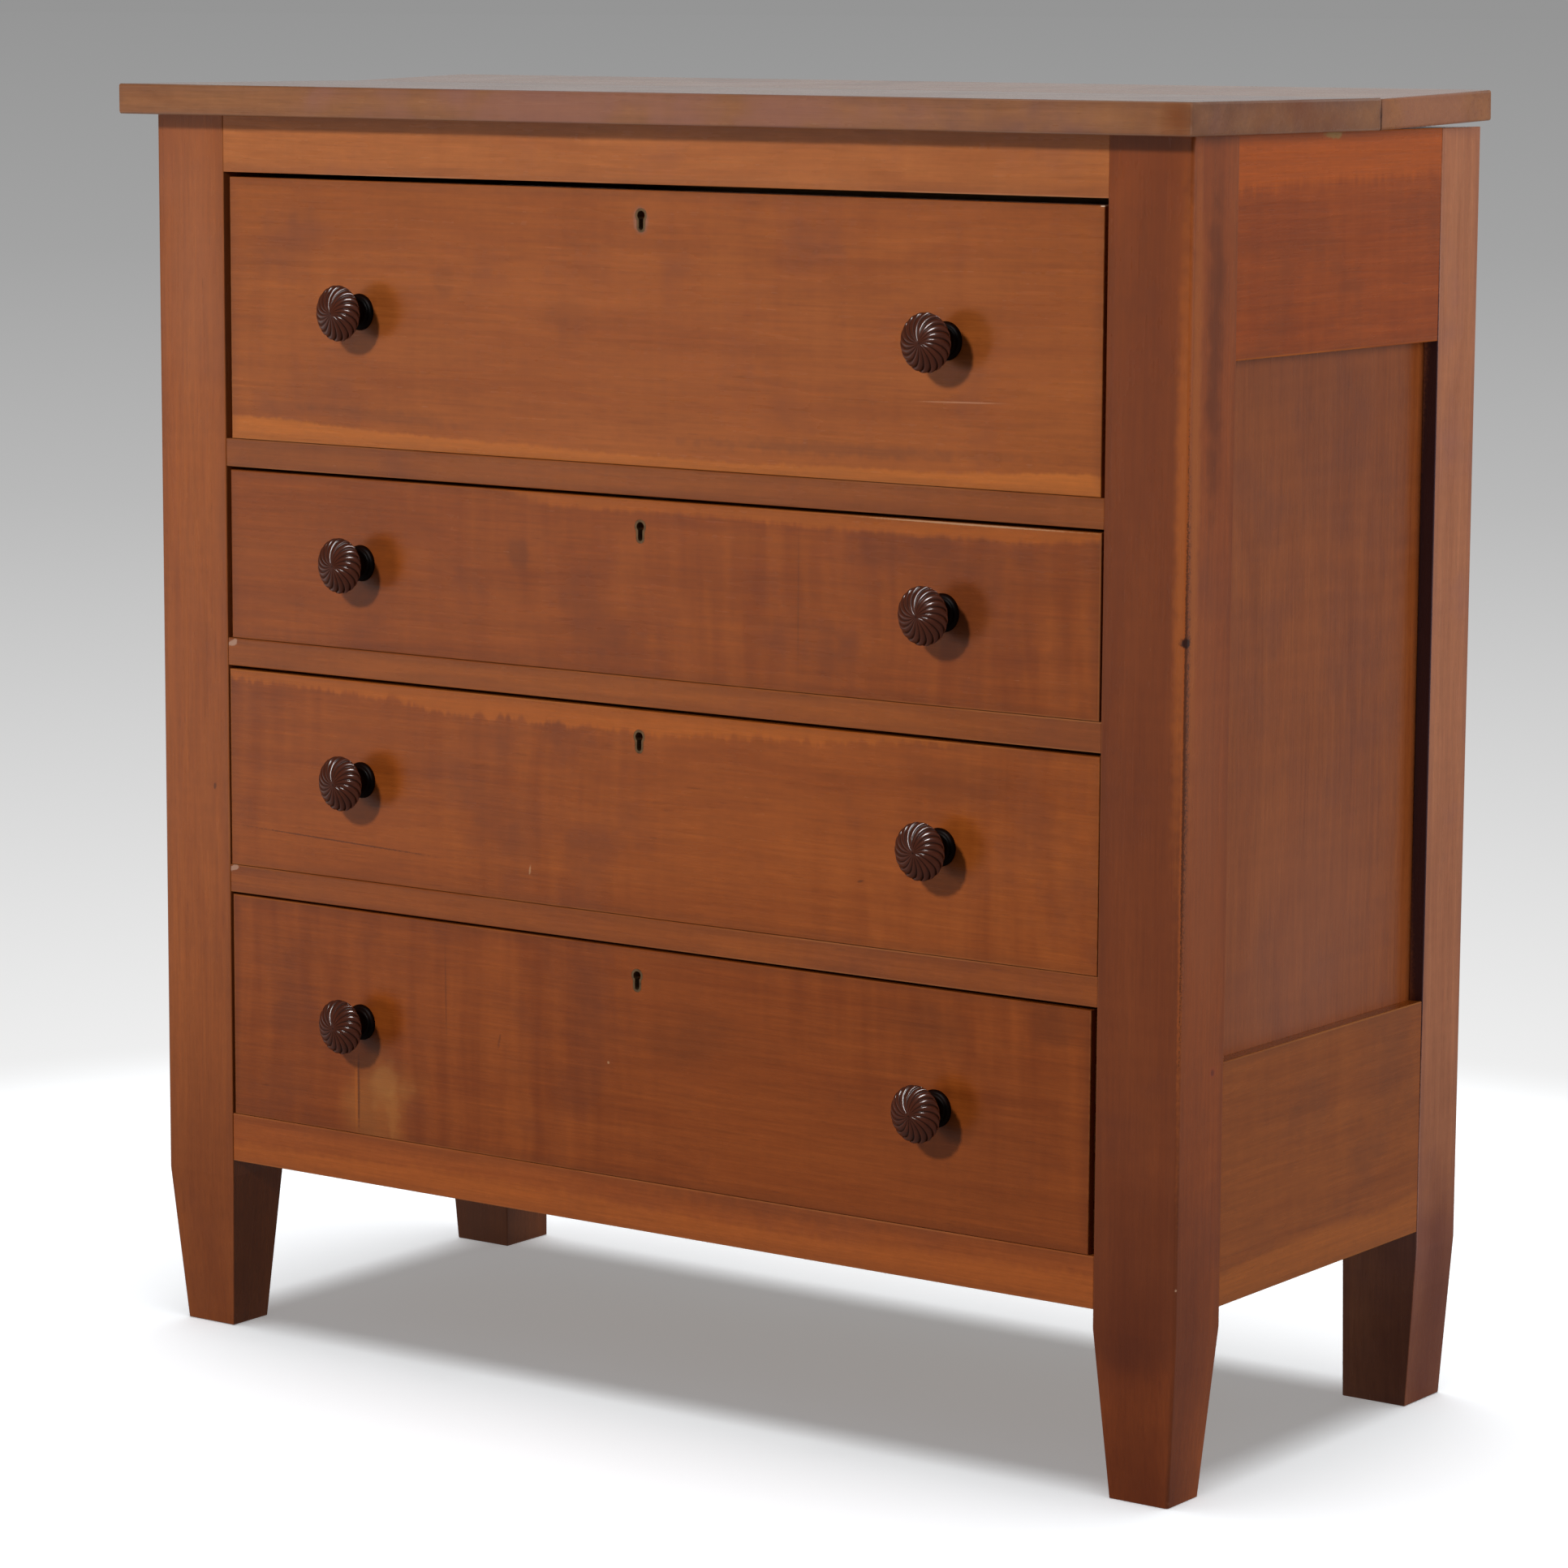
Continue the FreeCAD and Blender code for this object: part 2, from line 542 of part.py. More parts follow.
def post_blank(inner, y_span, rounds, tapers):
    """A right-hand post with its tapered leg, before it is mortised."""
    inner_taper, outer_taper, front_taper, back_taper = tapers
    taper_top = CASE_BOTTOM - LEG_STRAIGHT_DROP
    full = (inner, HALF_WIDTH)
    foot_x = (inner + inner_taper, HALF_WIDTH - outer_taper)
    foot_y = (y_span[0] + front_taper, y_span[1] - back_taper)
    shoulder = section(full, y_span, taper_top, rounds)
    foot = section(foot_x, foot_y, 0.0, rounds)
    upper = Part.Face(shoulder).extrude(V(0, 0, CASE_TOP - taper_top))
    leg = Part.makeLoft([foot, shoulder], True, True)
    return upper.fuse(leg)


def front_post():
    blank = post_blank(OPENING_HALF, (0.0, FRONT_POST_DEPTH),
                       (POST_EDGE_ROUND, POST_OUTER_ROUND, POST_EDGE_ROUND, POST_EDGE_ROUND),
                       FRONT_LEG_TAPERS)
    cuts = [rail_tenon(1, low, high, back, MORTISE_END_GAP)
            for low, high, back in front_rail_spans().values()]
    cuts += [side_tenon(low, high, False, MORTISE_END_GAP)
             for low, high in ((PANEL_TOP, CASE_TOP), (CASE_BOTTOM, PANEL_BOTTOM))]
    cuts.append(panel_groove())
    return blank.cut(cuts)


def rear_post():
    blank = post_blank(REAR_OPENING_HALF, (REAR_POST_FRONT, CASE_DEPTH),
                       (POST_EDGE_ROUND, POST_EDGE_ROUND, POST_OUTER_ROUND, POST_EDGE_ROUND),
                       REAR_LEG_TAPERS)
    cuts = [side_tenon(low, high, True, MORTISE_END_GAP)
            for low, high in ((PANEL_TOP, CASE_TOP), (CASE_BOTTOM, PANEL_BOTTOM))]
    cuts += [rear_rail_tenon(low, high, MORTISE_END_GAP) for low, high in rear_rail_spans().values()]
    cuts += [rear_tenon(opening.floor - RUNNER_HEIGHT, MORTISE_END_GAP) for opening in OPENINGS]
    cuts.append(rear_tenon(TOP_RAIL_BOTTOM, MORTISE_END_GAP))
    cuts.append(panel_groove())
    rebate = REAR_OPENING_HALF + BACK_REBATE_WIDTH
    cuts.append(block((REAR_OPENING_HALF, rebate), (BACK_BOARD_FRONT, CASE_DEPTH),
                      (CASE_BOTTOM, CASE_TOP)))
    return blank.cut(cuts)


def build_posts():
    for name, piece in (("front_post", front_post()), ("rear_post", rear_post())):
        save("left_" + name, mirrored(piece))
        save("right_" + name, piece)


# ---------------------------------------------------------------- top and its screws
def screw_shank(place, clearance=0.0):
    """A top screw's shank, or with a clearance, the hole that it passes through."""
    x, y = place
    return rod(SCREW_SHANK_RADIUS + clearance, (x, y, CASE_TOP - SCREW_GRIP - clearance),
               (0, 0, SCREW_GRIP + SCREW_BITE + 2 * clearance))


def front_screw_place(x):
    return (x, (RAIL_SETBACK + TOP_RAIL_BACK) / 2)


def side_screw_place(y):
    return ((SIDE_RAIL_INNER + SIDE_RAIL_OUTER) / 2, y)


def front_screw_hole(x):
    """A shank hole in the top rail, with a counterbore from below for the head."""
    place = front_screw_place(x)
    well = rod(SCREW_POCKET_RADIUS, place + (TOP_RAIL_BOTTOM,),
               (0, 0, TOP_RAIL_HEIGHT - SCREW_GRIP))
    return screw_shank(place, SCREW_CLEARANCE).fuse(well)


def side_screw_hole(y):
    """A shank hole in a side rail, with a pocket in the inner face for the head."""
    x, y = side_screw_place(y)
    high = CASE_TOP - SCREW_GRIP
    pocket = rod(SCREW_POCKET_RADIUS, (x, y, high - SCREW_POCKET_HEIGHT), (0, 0, SCREW_POCKET_HEIGHT))
    mouth = block((SIDE_RAIL_INNER, x), (y - SCREW_POCKET_RADIUS, y + SCREW_POCKET_RADIUS),
                  (high - SCREW_POCKET_HEIGHT, high))
    return screw_shank((x, y), SCREW_CLEARANCE).multiFuse([pocket, mouth])


def top_screw(place):
    x, y = place
    seat = CASE_TOP - SCREW_GRIP
    head = rod(SCREW_HEAD_RADIUS, (x, y, seat - SCREW_HEAD_HEIGHT), (0, 0, SCREW_HEAD_HEIGHT))
    slot = block((x - SCREW_HEAD_RADIUS, x + SCREW_HEAD_RADIUS),
                 (y - SCREW_SLOT_WIDTH / 2, y + SCREW_SLOT_WIDTH / 2),
                 (seat - SCREW_HEAD_HEIGHT, seat - SCREW_HEAD_HEIGHT + SCREW_SLOT_DEPTH))
    return screw_shank(place).fuse(head).removeSplitter().cut(slot)


def side_screw_rows():
    """How far behind the posts' front faces the screws in the side rails stand."""
    return (SIDE_SCREW_FRONT, TOP_SEAM_FROM_FRONT - SIDE_SCREW_BEFORE_SEAM,
            TOP_SEAM_FROM_FRONT + SIDE_SCREW_BEHIND_SEAM)


def top_screw_places():
    places = [front_screw_place(x) for x in (-FRONT_SCREW_OFFSET, FRONT_SCREW_OFFSET)]
    for y in side_screw_rows():
        x, y = side_screw_place(y)
        places += [(-x, y), (x, y)]
    return places


def top_board(seam, outer_edge, thickness):
    """A board of the top, from its seam edge to its outer edge, softened except at the seam."""
    half = HALF_WIDTH + TOP_SIDE_OVERHANG
    board = block((-half, half), (seam, outer_edge), (CASE_TOP, CASE_TOP + thickness))

    def shows(middle):
        return near(middle.y, outer_edge) or near(abs(middle.x), half) and not near(middle.y, seam)

    return soften(board, TOP_EDGE_ROUND, shows)


def build_top():
    holes = [screw_shank(place, SCREW_CLEARANCE) for place in top_screw_places()]
    front = top_board(TOP_SEAM_FROM_FRONT, -TOP_FRONT_OVERHANG, TOP_FRONT_THICKNESS)
    save("top_front_board", front.cut(holes))

    hinge = TOP_SEAM_FROM_FRONT + TOP_SEAM_GAP
    back_edge = CASE_DEPTH - TOP_BACK_SETBACK
    rear = top_board(hinge, back_edge, TOP_REAR_THICKNESS)
    tilt = math.degrees(math.asin(TOP_REAR_LIFT / (back_edge - hinge)))
    rear.rotate(V(0, hinge, CASE_TOP), V(1, 0, 0), tilt)
    save("top_rear_board", rear.cut(holes))

    save("top_screws", [top_screw(place) for place in top_screw_places()])


# ---------------------------------------------------------------- drawer joints
def tails(low, high, root, tip, x_span):
    """Dovetail tails of one end of a drawer side, from their root plane to their tips."""
    count = max(2, round((high - low) / DOVETAIL_PITCH))
    pitch = (high - low) / count
    flare = abs(tip - root) / DOVETAIL_SLOPE
    pieces = []
    for index in range(count):
        wide = (low + index * pitch + DOVETAIL_PIN / 2, low + (index + 1) * pitch - DOVETAIL_PIN / 2)
        outline = [(x_span[0], root, wide[0] + flare), (x_span[0], tip, wide[0]),
                   (x_span[0], tip, wide[1]), (x_span[0], root, wide[1] - flare)]
        pieces.append(prism(outline, (x_span[1] - x_span[0], 0, 0)))
    return pieces


def side_span(opening):
    """The right-hand drawer side, from its inner face to its outer face."""
    return (opening.inside_half, opening.half)


def front_tails(opening):
    return tails(opening.drawer_low, opening.side_top, DRAWER_INNER_FACE,
                 DRAWER_FACE + DOVETAIL_LAP, side_span(opening))


def back_tails(opening):
    return tails(opening.bottom_top, opening.side_top, DRAWER_BACK_FACE, DRAWER_END,
                 side_span(opening))


def bottom_groove(opening):
    """The groove round a drawer that holds its bottom, as the block that fills it."""
    reach = opening.inside_half + BOTTOM_GROOVE_DEPTH
    return block((-reach, reach), (DRAWER_INNER_FACE - BOTTOM_GROOVE_DEPTH, DRAWER_END),
                 (opening.groove, opening.bottom_top))


# ---------------------------------------------------------------- locks and keyholes
def keyhole(opening, growth, y_span):
    """A keyhole's shape as a solid plug, grown outwards on all sides."""
    radius = KEYHOLE_HEAD_RADIUS + growth
    half = KEYHOLE_SLOT_WIDTH / 2 + growth
    foot = opening.key_middle - KEYHOLE_HEIGHT / 2 - growth + half
    along = (0, y_span[1] - y_span[0], 0)
    head = rod(radius, (0, y_span[0], opening.key_axis), along)
    toe = rod(half, (0, y_span[0], foot), along)
    slot = block((-half, half), y_span, (foot, opening.key_axis))
    return head.multiFuse([toe, slot]).removeSplitter()


def escutcheon(opening):
    """The brass liner let into the drawer front round the keyhole."""
    span = (DRAWER_FACE, DRAWER_FACE + ESCUTCHEON_DEPTH)
    through = (span[0] - CUT_PAST, span[1] + CUT_PAST)
    return keyhole(opening, ESCUTCHEON_WALL, span).cut(keyhole(opening, 0.0, through))


def lock_screw_places(opening):
    """Where the plate's screws stand, as (x, z)."""
    out = LOCK_PLATE_WIDTH / 2 - LOCK_SCREW_INSET
    high = opening.lock_top - LOCK_PLATE_THICKNESS - LOCK_SCREW_INSET
    low = opening.lock_top - LOCK_PLATE_HEIGHT + LOCK_SCREW_INSET
    return [(x, z) for x in (-out, out) for z in (low, high)]


def lock_screw(place, clearance=0.0):
    """A lock screw, its head flush in the plate, or the hole that it needs."""
    x, z = place
    head = Part.makeCone(LOCK_SCREW_HEAD_RADIUS + clearance, LOCK_SCREW_RADIUS + clearance,
                         LOCK_PLATE_THICKNESS, V(x, DRAWER_INNER_FACE, z), V(0, -1, 0))
    shank = rod(LOCK_SCREW_RADIUS + clearance, (x, DRAWER_INNER_FACE, z),
                (0, -(LOCK_SCREW_LENGTH + clearance), 0))
    return head.fuse(shank).removeSplitter()


def lock_plates(opening):
    """The back plate and the top flange of a lock, bent from one sheet."""
    half = LOCK_PLATE_WIDTH / 2
    top = opening.lock_top
    plate = block((-half, half), (DRAWER_INNER_FACE - LOCK_PLATE_THICKNESS, DRAWER_INNER_FACE),
                  (top - LOCK_PLATE_HEIGHT, top))
    flange = block((-half, half), (LOCK_BOX_FRONT, DRAWER_INNER_FACE),
                   (top - LOCK_PLATE_THICKNESS, top))
    return plate.fuse(flange).removeSplitter()


def lock_box(opening, inset):
    """The lock's box, or with an inset of one wall, the room inside it."""
    half = LOCK_BOX_WIDTH / 2 - inset
    top = opening.lock_top - LOCK_PLATE_THICKNESS
    return block((-half, half), (LOCK_BOX_FRONT + inset, DRAWER_INNER_FACE - LOCK_PLATE_THICKNESS),
                 (top - LOCK_BOX_HEIGHT + inset, top))


def bolt_bar(opening, clearance):
    """The bolt's outline at rest, or with a clearance, the slot that it slides in."""
    half = BOLT_WIDTH / 2 + clearance
    top = opening.lock_top
    return block((-half, half), (BOLT_FRONT - clearance, BOLT_BACK + clearance),
                 (top - BOLT_HEIGHT, top + clearance))


def lock(opening):
    """The half-mortise lock without its bolt: one case, and four screws."""
    shell = lock_box(opening, 0.0).cut(lock_box(opening, LOCK_WALL))
    case = lock_plates(opening).fuse(shell).removeSplitter()
    key_way = (LOCK_BOX_FRONT - CUT_PAST, LOCK_BOX_FRONT + LOCK_WALL + CUT_PAST)
    cuts = [bolt_bar(opening, BOLT_CLEARANCE), keyhole(opening, 0.0, key_way)]
    cuts += [lock_screw(place, SCREW_CLEARANCE) for place in lock_screw_places(opening)]
    case = case.cut(cuts)
    return [case] + [lock_screw(place) for place in lock_screw_places(opening)]


def lock_bolt(opening):
    """The bolt at rest, drawn down, with a notch that clears the key."""
    bar = bolt_bar(opening, 0.0)
    bar.translate(V(0, 0, -BOLT_CLEARANCE))
    half = BOLT_NOTCH_WIDTH / 2
    crown = opening.key_axis + half
    notch = block((-half, half), (BOLT_FRONT, BOLT_BACK), (opening.lock_top - 2 * BOLT_HEIGHT, crown))
    return bar.cut(notch)


# ---------------------------------------------------------------- knobs
def dome_points(head):
    """Points of a quarter ellipse from the equator of a knob's head to the pip at its tip."""
    last = math.acos(KNOB_TIP_FLAT / KNOB_HEAD_RADIUS)
    depth = KNOB_DOME / math.sin(last)
    turns = [last * step / DOME_STEPS for step in range(DOME_STEPS + 1)]
    return [V(KNOB_HEAD_RADIUS * math.cos(turn), head - depth * math.sin(turn), 0) for turn in turns]


def knob(side, opening):
    """A turned wooden knob: tenon, round flange, hollow neck and domed head."""
    face = DRAWER_FACE
    head = face - KNOB_PROJECTION + KNOB_DOME
    flange_front = face - KNOB_FLANGE_THICKNESS
    tenon_end = DRAWER_INNER_FACE - KNOB_TENON_CLEARANCE

    axis_back = V(0, tenon_end, 0)
    tenon_back = V(KNOB_TENON_RADIUS, tenon_end, 0)
    tenon_front = V(KNOB_TENON_RADIUS, face, 0)
    flange_back = V(KNOB_FLANGE_RADIUS, face, 0)
    flange_lip = V(KNOB_FLANGE_RADIUS - KNOB_FLANGE_THICKNESS, flange_front, 0)
    waist = V(KNOB_NECK_RADIUS, (flange_front + head) / 2, 0)
    equator = V(KNOB_HEAD_RADIUS, head, 0)
    pip = V(KNOB_TIP_FLAT, head - KNOB_DOME, 0)
    tip = V(0, pip.y, 0)

    lip_turn = KNOB_FLANGE_THICKNESS * math.sqrt(0.5)
    lip_crown = V(flange_lip.x + lip_turn, face - lip_turn, 0)
    cove = Part.BSplineCurve()
    cove.interpolate(Points=[flange_lip, waist, equator],
                     InitialTangent=V(*COVE_START), FinalTangent=V(*COVE_END))
    dome = Part.BSplineCurve()
    dome.interpolate(Points=dome_points(head), InitialTangent=V(0, -1, 0), FinalTangent=V(-1, 0, 0))
    profile = [
        Part.makeLine(axis_back, tenon_back),
        Part.makeLine(tenon_back, tenon_front),
        Part.makeLine(tenon_front, flange_back),
        Part.Arc(flange_back, lip_crown, flange_lip).toShape(),
        cove.toShape(),
        dome.toShape(),
        Part.makeLine(pip, tip),
        Part.makeLine(tip, axis_back),
    ]
    shape = Part.Face(Part.Wire(profile)).revolve(V(0, 0, 0), V(0, 1, 0), 360)
    shape.translate(V(side * KNOB_OFFSET, 0, opening.middle))
    return shape


def knob_hole(side, opening):
    return rod(KNOB_TENON_RADIUS + KNOB_TENON_CLEARANCE,
               (side * KNOB_OFFSET, DRAWER_FACE - CUT_PAST, opening.middle),
               (0, DRAWER_FRONT_THICKNESS + 2 * CUT_PAST, 0))


# ---------------------------------------------------------------- drawers
def drawer_front(opening):
    half = opening.half
    low = opening.drawer_low
    outline = [(-half, DRAWER_FACE, low), (half, DRAWER_FACE, low),
               (half, DRAWER_FACE, opening.front_top(half)),
               (-half, DRAWER_FACE, opening.front_top(-half))]
    board = prism(outline, (0, DRAWER_FRONT_THICKNESS, 0))
    board = soften(board, DRAWER_FRONT_ROUND, lambda middle: near(middle.y, DRAWER_FACE))
    lined = (DRAWER_FACE - CUT_PAST, DRAWER_FACE + ESCUTCHEON_DEPTH)
    bare = (DRAWER_FACE, LOCK_BOX_FRONT + CUT_PAST)
    cuts = front_tails(opening) + [mirrored(tail) for tail in front_tails(opening)]
    cuts += [bottom_groove(opening), lock_box(opening, 0.0), lock_plates(opening)]
    cuts += [keyhole(opening, ESCUTCHEON_WALL + ESCUTCHEON_CLEARANCE, lined),
             keyhole(opening, 0.0, bare)]
    cuts += [knob_hole(side, opening) for side in (-1, 1)]
    cuts += [lock_screw(place, SCREW_CLEARANCE) for place in lock_screw_places(opening)]
    cuts.append(block((-LOCK_PLATE_WIDTH / 2, LOCK_PLATE_WIDTH / 2),
                      (LOCK_BOX_FRONT, DRAWER_INNER_FACE), (opening.lock_top, opening.ceiling)))
    return board.cut(cuts)


def drawer_side(opening):
    """The right-hand side, with its tails at both ends."""
    x = side_span(opening)
    board = block(x, (DRAWER_INNER_FACE, DRAWER_BACK_FACE), (opening.drawer_low, opening.side_top))
    below_back = block(x, (DRAWER_BACK_FACE, DRAWER_END), (opening.drawer_low, opening.bottom_top))
    side = board.multiFuse([below_back] + front_tails(opening) + back_tails(opening))
    return side.removeSplitter().cut(bottom_groove(opening))


def drawer_back(opening):
    board = block((-opening.half, opening.half), (DRAWER_BACK_FACE, DRAWER_END),
                  (opening.bottom_top, opening.side_top))
    return board.cut(back_tails(opening) + [mirrored(tail) for tail in back_tails(opening)])


def drawer_bottom(opening):
    """A board that slides into the grooves, its underside bevelled at three edges."""
    half = opening.inside_half + BOTTOM_GROOVE_DEPTH
    front = DRAWER_INNER_FACE - BOTTOM_GROOVE_DEPTH
    low = opening.bottom_top - BOTTOM_THICKNESS
    edge = opening.groove
    reach = BOTTOM_GROOVE_DEPTH + BOTTOM_BEVEL
    board = block((-half, half), (front, DRAWER_END), (low, opening.bottom_top))
    length = DRAWER_END - front
    side_bevel = prism([(half, front, low), (half, front, edge),
                        (half - BOTTOM_GROOVE_DEPTH, front, edge), (half - reach, front, low)],
                       (0, length, 0))
    front_bevel = prism([(-half, front, low), (-half, front, edge),
                         (-half, front + BOTTOM_GROOVE_DEPTH, edge), (-half, front + reach, low)],
                        (2 * half, 0, 0))
    return board.cut([side_bevel, mirrored(side_bevel), front_bevel])


def build_drawer(opening):
    """Write all the pieces of one drawer, moved sideways into their place in the opening."""
    side = drawer_side(opening)
    pieces = {
        "front": [drawer_front(opening)],
        "left_side": [mirrored(side)],
        "right_side": [side],
        "back": [drawer_back(opening)],
        "bottom": [drawer_bottom(opening)],
        "knobs": [knob(-1, opening), knob(1, opening)],
        "escutcheon": [escutcheon(opening)],
        "lock": lock(opening),
        "lock_bolt": [lock_bolt(opening)],
    }
    for name, solids in pieces.items():
        for solid in solids:
            solid.translate(V(opening.shift, 0, 0))
        save("drawer_%d_%s" % (opening.number, name), solids)


def build():
    os.makedirs("parts", exist_ok=True)
    build_posts()
    build_front_rails()
    build_sides()
    build_rear_rails()
    build_back_boards()
    build_drawer_carriers()
    build_top()
    for opening in OPENINGS:
        build_drawer(opening)


build()
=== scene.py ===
"""Looks of an aged cherry chest of four drawers on tapered legs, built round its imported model.

The boards keep their CAD solids and get their wood, wear and softened arrises here. The fluted
knobs and the nails of the back boards are made here. Lengths are in metres, in the model's frame:
the front looks along -Y, the floor is at Z 0. Colours are linear RGB.
"""

import logging
import math
from dataclasses import dataclass
from enum import Enum
from typing import Any, Optional, Sequence, Union

import bmesh
import bpy
from mathutils import Matrix, Vector
from mathutils.geometry import interpolate_bezier


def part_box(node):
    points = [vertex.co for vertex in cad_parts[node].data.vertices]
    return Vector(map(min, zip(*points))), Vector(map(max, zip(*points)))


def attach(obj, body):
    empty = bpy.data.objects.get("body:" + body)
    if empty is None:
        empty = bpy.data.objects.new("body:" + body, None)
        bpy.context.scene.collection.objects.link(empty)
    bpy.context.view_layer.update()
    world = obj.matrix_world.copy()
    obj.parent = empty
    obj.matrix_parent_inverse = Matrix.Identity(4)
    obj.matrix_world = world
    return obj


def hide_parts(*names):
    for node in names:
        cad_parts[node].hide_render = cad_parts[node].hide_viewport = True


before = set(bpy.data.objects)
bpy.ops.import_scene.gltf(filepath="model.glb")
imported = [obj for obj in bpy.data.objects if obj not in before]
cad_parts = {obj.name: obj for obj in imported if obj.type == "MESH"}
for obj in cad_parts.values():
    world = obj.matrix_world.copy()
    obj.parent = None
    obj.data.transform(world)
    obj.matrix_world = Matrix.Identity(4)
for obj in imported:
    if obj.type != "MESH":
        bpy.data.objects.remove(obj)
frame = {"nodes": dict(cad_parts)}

LOG = logging.getLogger("chest")
MM = 0.001

Colour = tuple[float, float, float]
Triple = tuple[float, float, float]
Plug = Union["Value", float, Sequence[float]]


def add_object(name: str, data: Any) -> bpy.types.Object:
    """Puts an object that holds this data into the scene."""
    made = bpy.data.objects.new(name, data)
    bpy.context.scene.collection.objects.link(made)
    return made


# ------------------------------------------------------------------ node trees
class Value:
    """One output of a node, on which arithmetic is written as Python expressions."""

    def __init__(self, tree: "Tree", socket: bpy.types.NodeSocket) -> None:
        """Wraps a tree's output socket."""
        self.tree = tree
        self.socket = socket

    def _work(self, operation: str, first: Plug, second: Plug) -> "Value":
        """Adds the node of one sum: Vector Math for colours and vectors, Math for numbers.

        Args:
            operation: the node's operation.
            first: left side.
            second: right side.

        Returns:
            The sum's output.
        """
        wide = any(not isinstance(side, Value) and hasattr(side, "__len__")
                   or isinstance(side, Value) and side.socket.type in ("VECTOR", "RGBA")
                   for side in (first, second))
        kind = "ShaderNodeVectorMath" if wide else "ShaderNodeMath"
        return self.tree.make(kind, {"operation": operation}, {0: first, 1: second})

    def __add__(self, other: Plug) -> "Value":
        """self + other."""
        return self._work("ADD", self, other)

    def __radd__(self, other: Plug) -> "Value":
        """other + self."""
        return self._work("ADD", other, self)

    def __sub__(self, other: Plug) -> "Value":
        """self - other."""
        return self._work("SUBTRACT", self, other)

    def __rsub__(self, other: Plug) -> "Value":
        """other - self."""
        return self._work("SUBTRACT", other, self)

    def __mul__(self, other: Plug) -> "Value":
        """self * other."""
        return self._work("MULTIPLY", self, other)

    def __rmul__(self, other: Plug) -> "Value":
        """other * self."""
        return self._work("MULTIPLY", other, self)

    def __truediv__(self, other: Plug) -> "Value":
        """self / other."""
        return self._work("DIVIDE", self, other)

    def __rtruediv__(self, other: Plug) -> "Value":
        """other / self."""
        return self._work("DIVIDE", other, self)

    def __pow__(self, other: Plug) -> "Value":
        """self ** other, for numbers."""
        return self._work("POWER", self, other)


class Tree:
    """A node tree that is written as Python expressions."""

    def __init__(self, nodes: bpy.types.NodeTree) -> None:
        """Starts on an empty tree."""
        self.nodes = nodes

    def make(self, kind: str, settings: Optional[dict[str, Any]] = None,
             inputs: Optional[dict[Union[int, str], Plug]] = None,
             output: Union[int, str] = 0) -> Value:
        """Adds any node.

        Args:
            kind: the node's type.
            settings: its properties, set first; "stops" gives a colour ramp's stops.
            inputs: the values or links of its sockets.
            output: which output to hand back.

        Returns:
            That output.
        """
        node = self.nodes.nodes.new(kind)
        for name, setting in (settings or {}).items():
            if name == "stops":
                self._set_stops(node.color_ramp, setting)
            else:
                setattr(node, name, setting)
        for key, value in (inputs or {}).items():
            self._plug(node.inputs[key], value)
        return Value(self, node.outputs[output]) if node.outputs else Value(self, None)

    @staticmethod
    def _set_stops(ramp: bpy.types.ColorRamp, stops: Sequence[tuple[float, float]]) -> None:
        """Gives a ramp its stops of (place, grey)."""
        ramp.interpolation = "EASE"
        while len(ramp.elements) < len(stops):
            ramp.elements.new(1.0)
        for element, (place, grey) in zip(ramp.elements, stops):
            element.position = place
            element.color = (grey, grey, grey, 1.0)

    def _plug(self, socket: bpy.types.NodeSocket, value: Plug) -> None:
        """Links a value to a socket, or sets the socket to a number or a tuple."""
        if isinstance(value, Value):
            self.nodes.links.new(value.socket, socket)
            return
        if socket.type in ("RGBA", "VECTOR") and not hasattr(value, "__len__"):
            value = (value,) * 3
        socket.default_value = (*value, 1.0) if socket.type == "RGBA" else value

    def sum_of(self, operation: str, *values: Plug) -> Value:
        """A Math node that has no Python operator, such as MAXIMUM or SINE."""
        return self.make("ShaderNodeMath", {"operation": operation}, dict(enumerate(values)))

    def ease(self, value: Plug, low: float, high: float) -> Value:
        """0 at low, 1 at high and smooth between; high may lie below low."""
        return self.make("ShaderNodeMapRange", {"interpolation_type": "SMOOTHSTEP"},
                         {"Value": value, "From Min": low, "From Max": high})

    def length(self, vector: Value) -> Value:
        """The length of a vector."""
        return self.make("ShaderNodeVectorMath", {"operation": "LENGTH"}, {0: vector}, "Value")

    def place(self) -> Value:
        """Object coordinates, which on these pieces are the model's frame at rest."""
        return self.make("ShaderNodeTexCoord", output="Object")

    def ray(self, kind: str) -> Value:
        """1 for a ray of one kind, such as Camera or Glossy, and 0 for all others."""
        return self.make("ShaderNodeLightPath", output=f"Is {kind} Ray")

    def split(self, vector: Value) -> tuple[Value, Value, Value]:
        """The three parts of a vector."""
        x = self.make("ShaderNodeSeparateXYZ", inputs={0: vector})
        return x, Value(self, x.socket.node.outputs[1]), Value(self, x.socket.node.outputs[2])


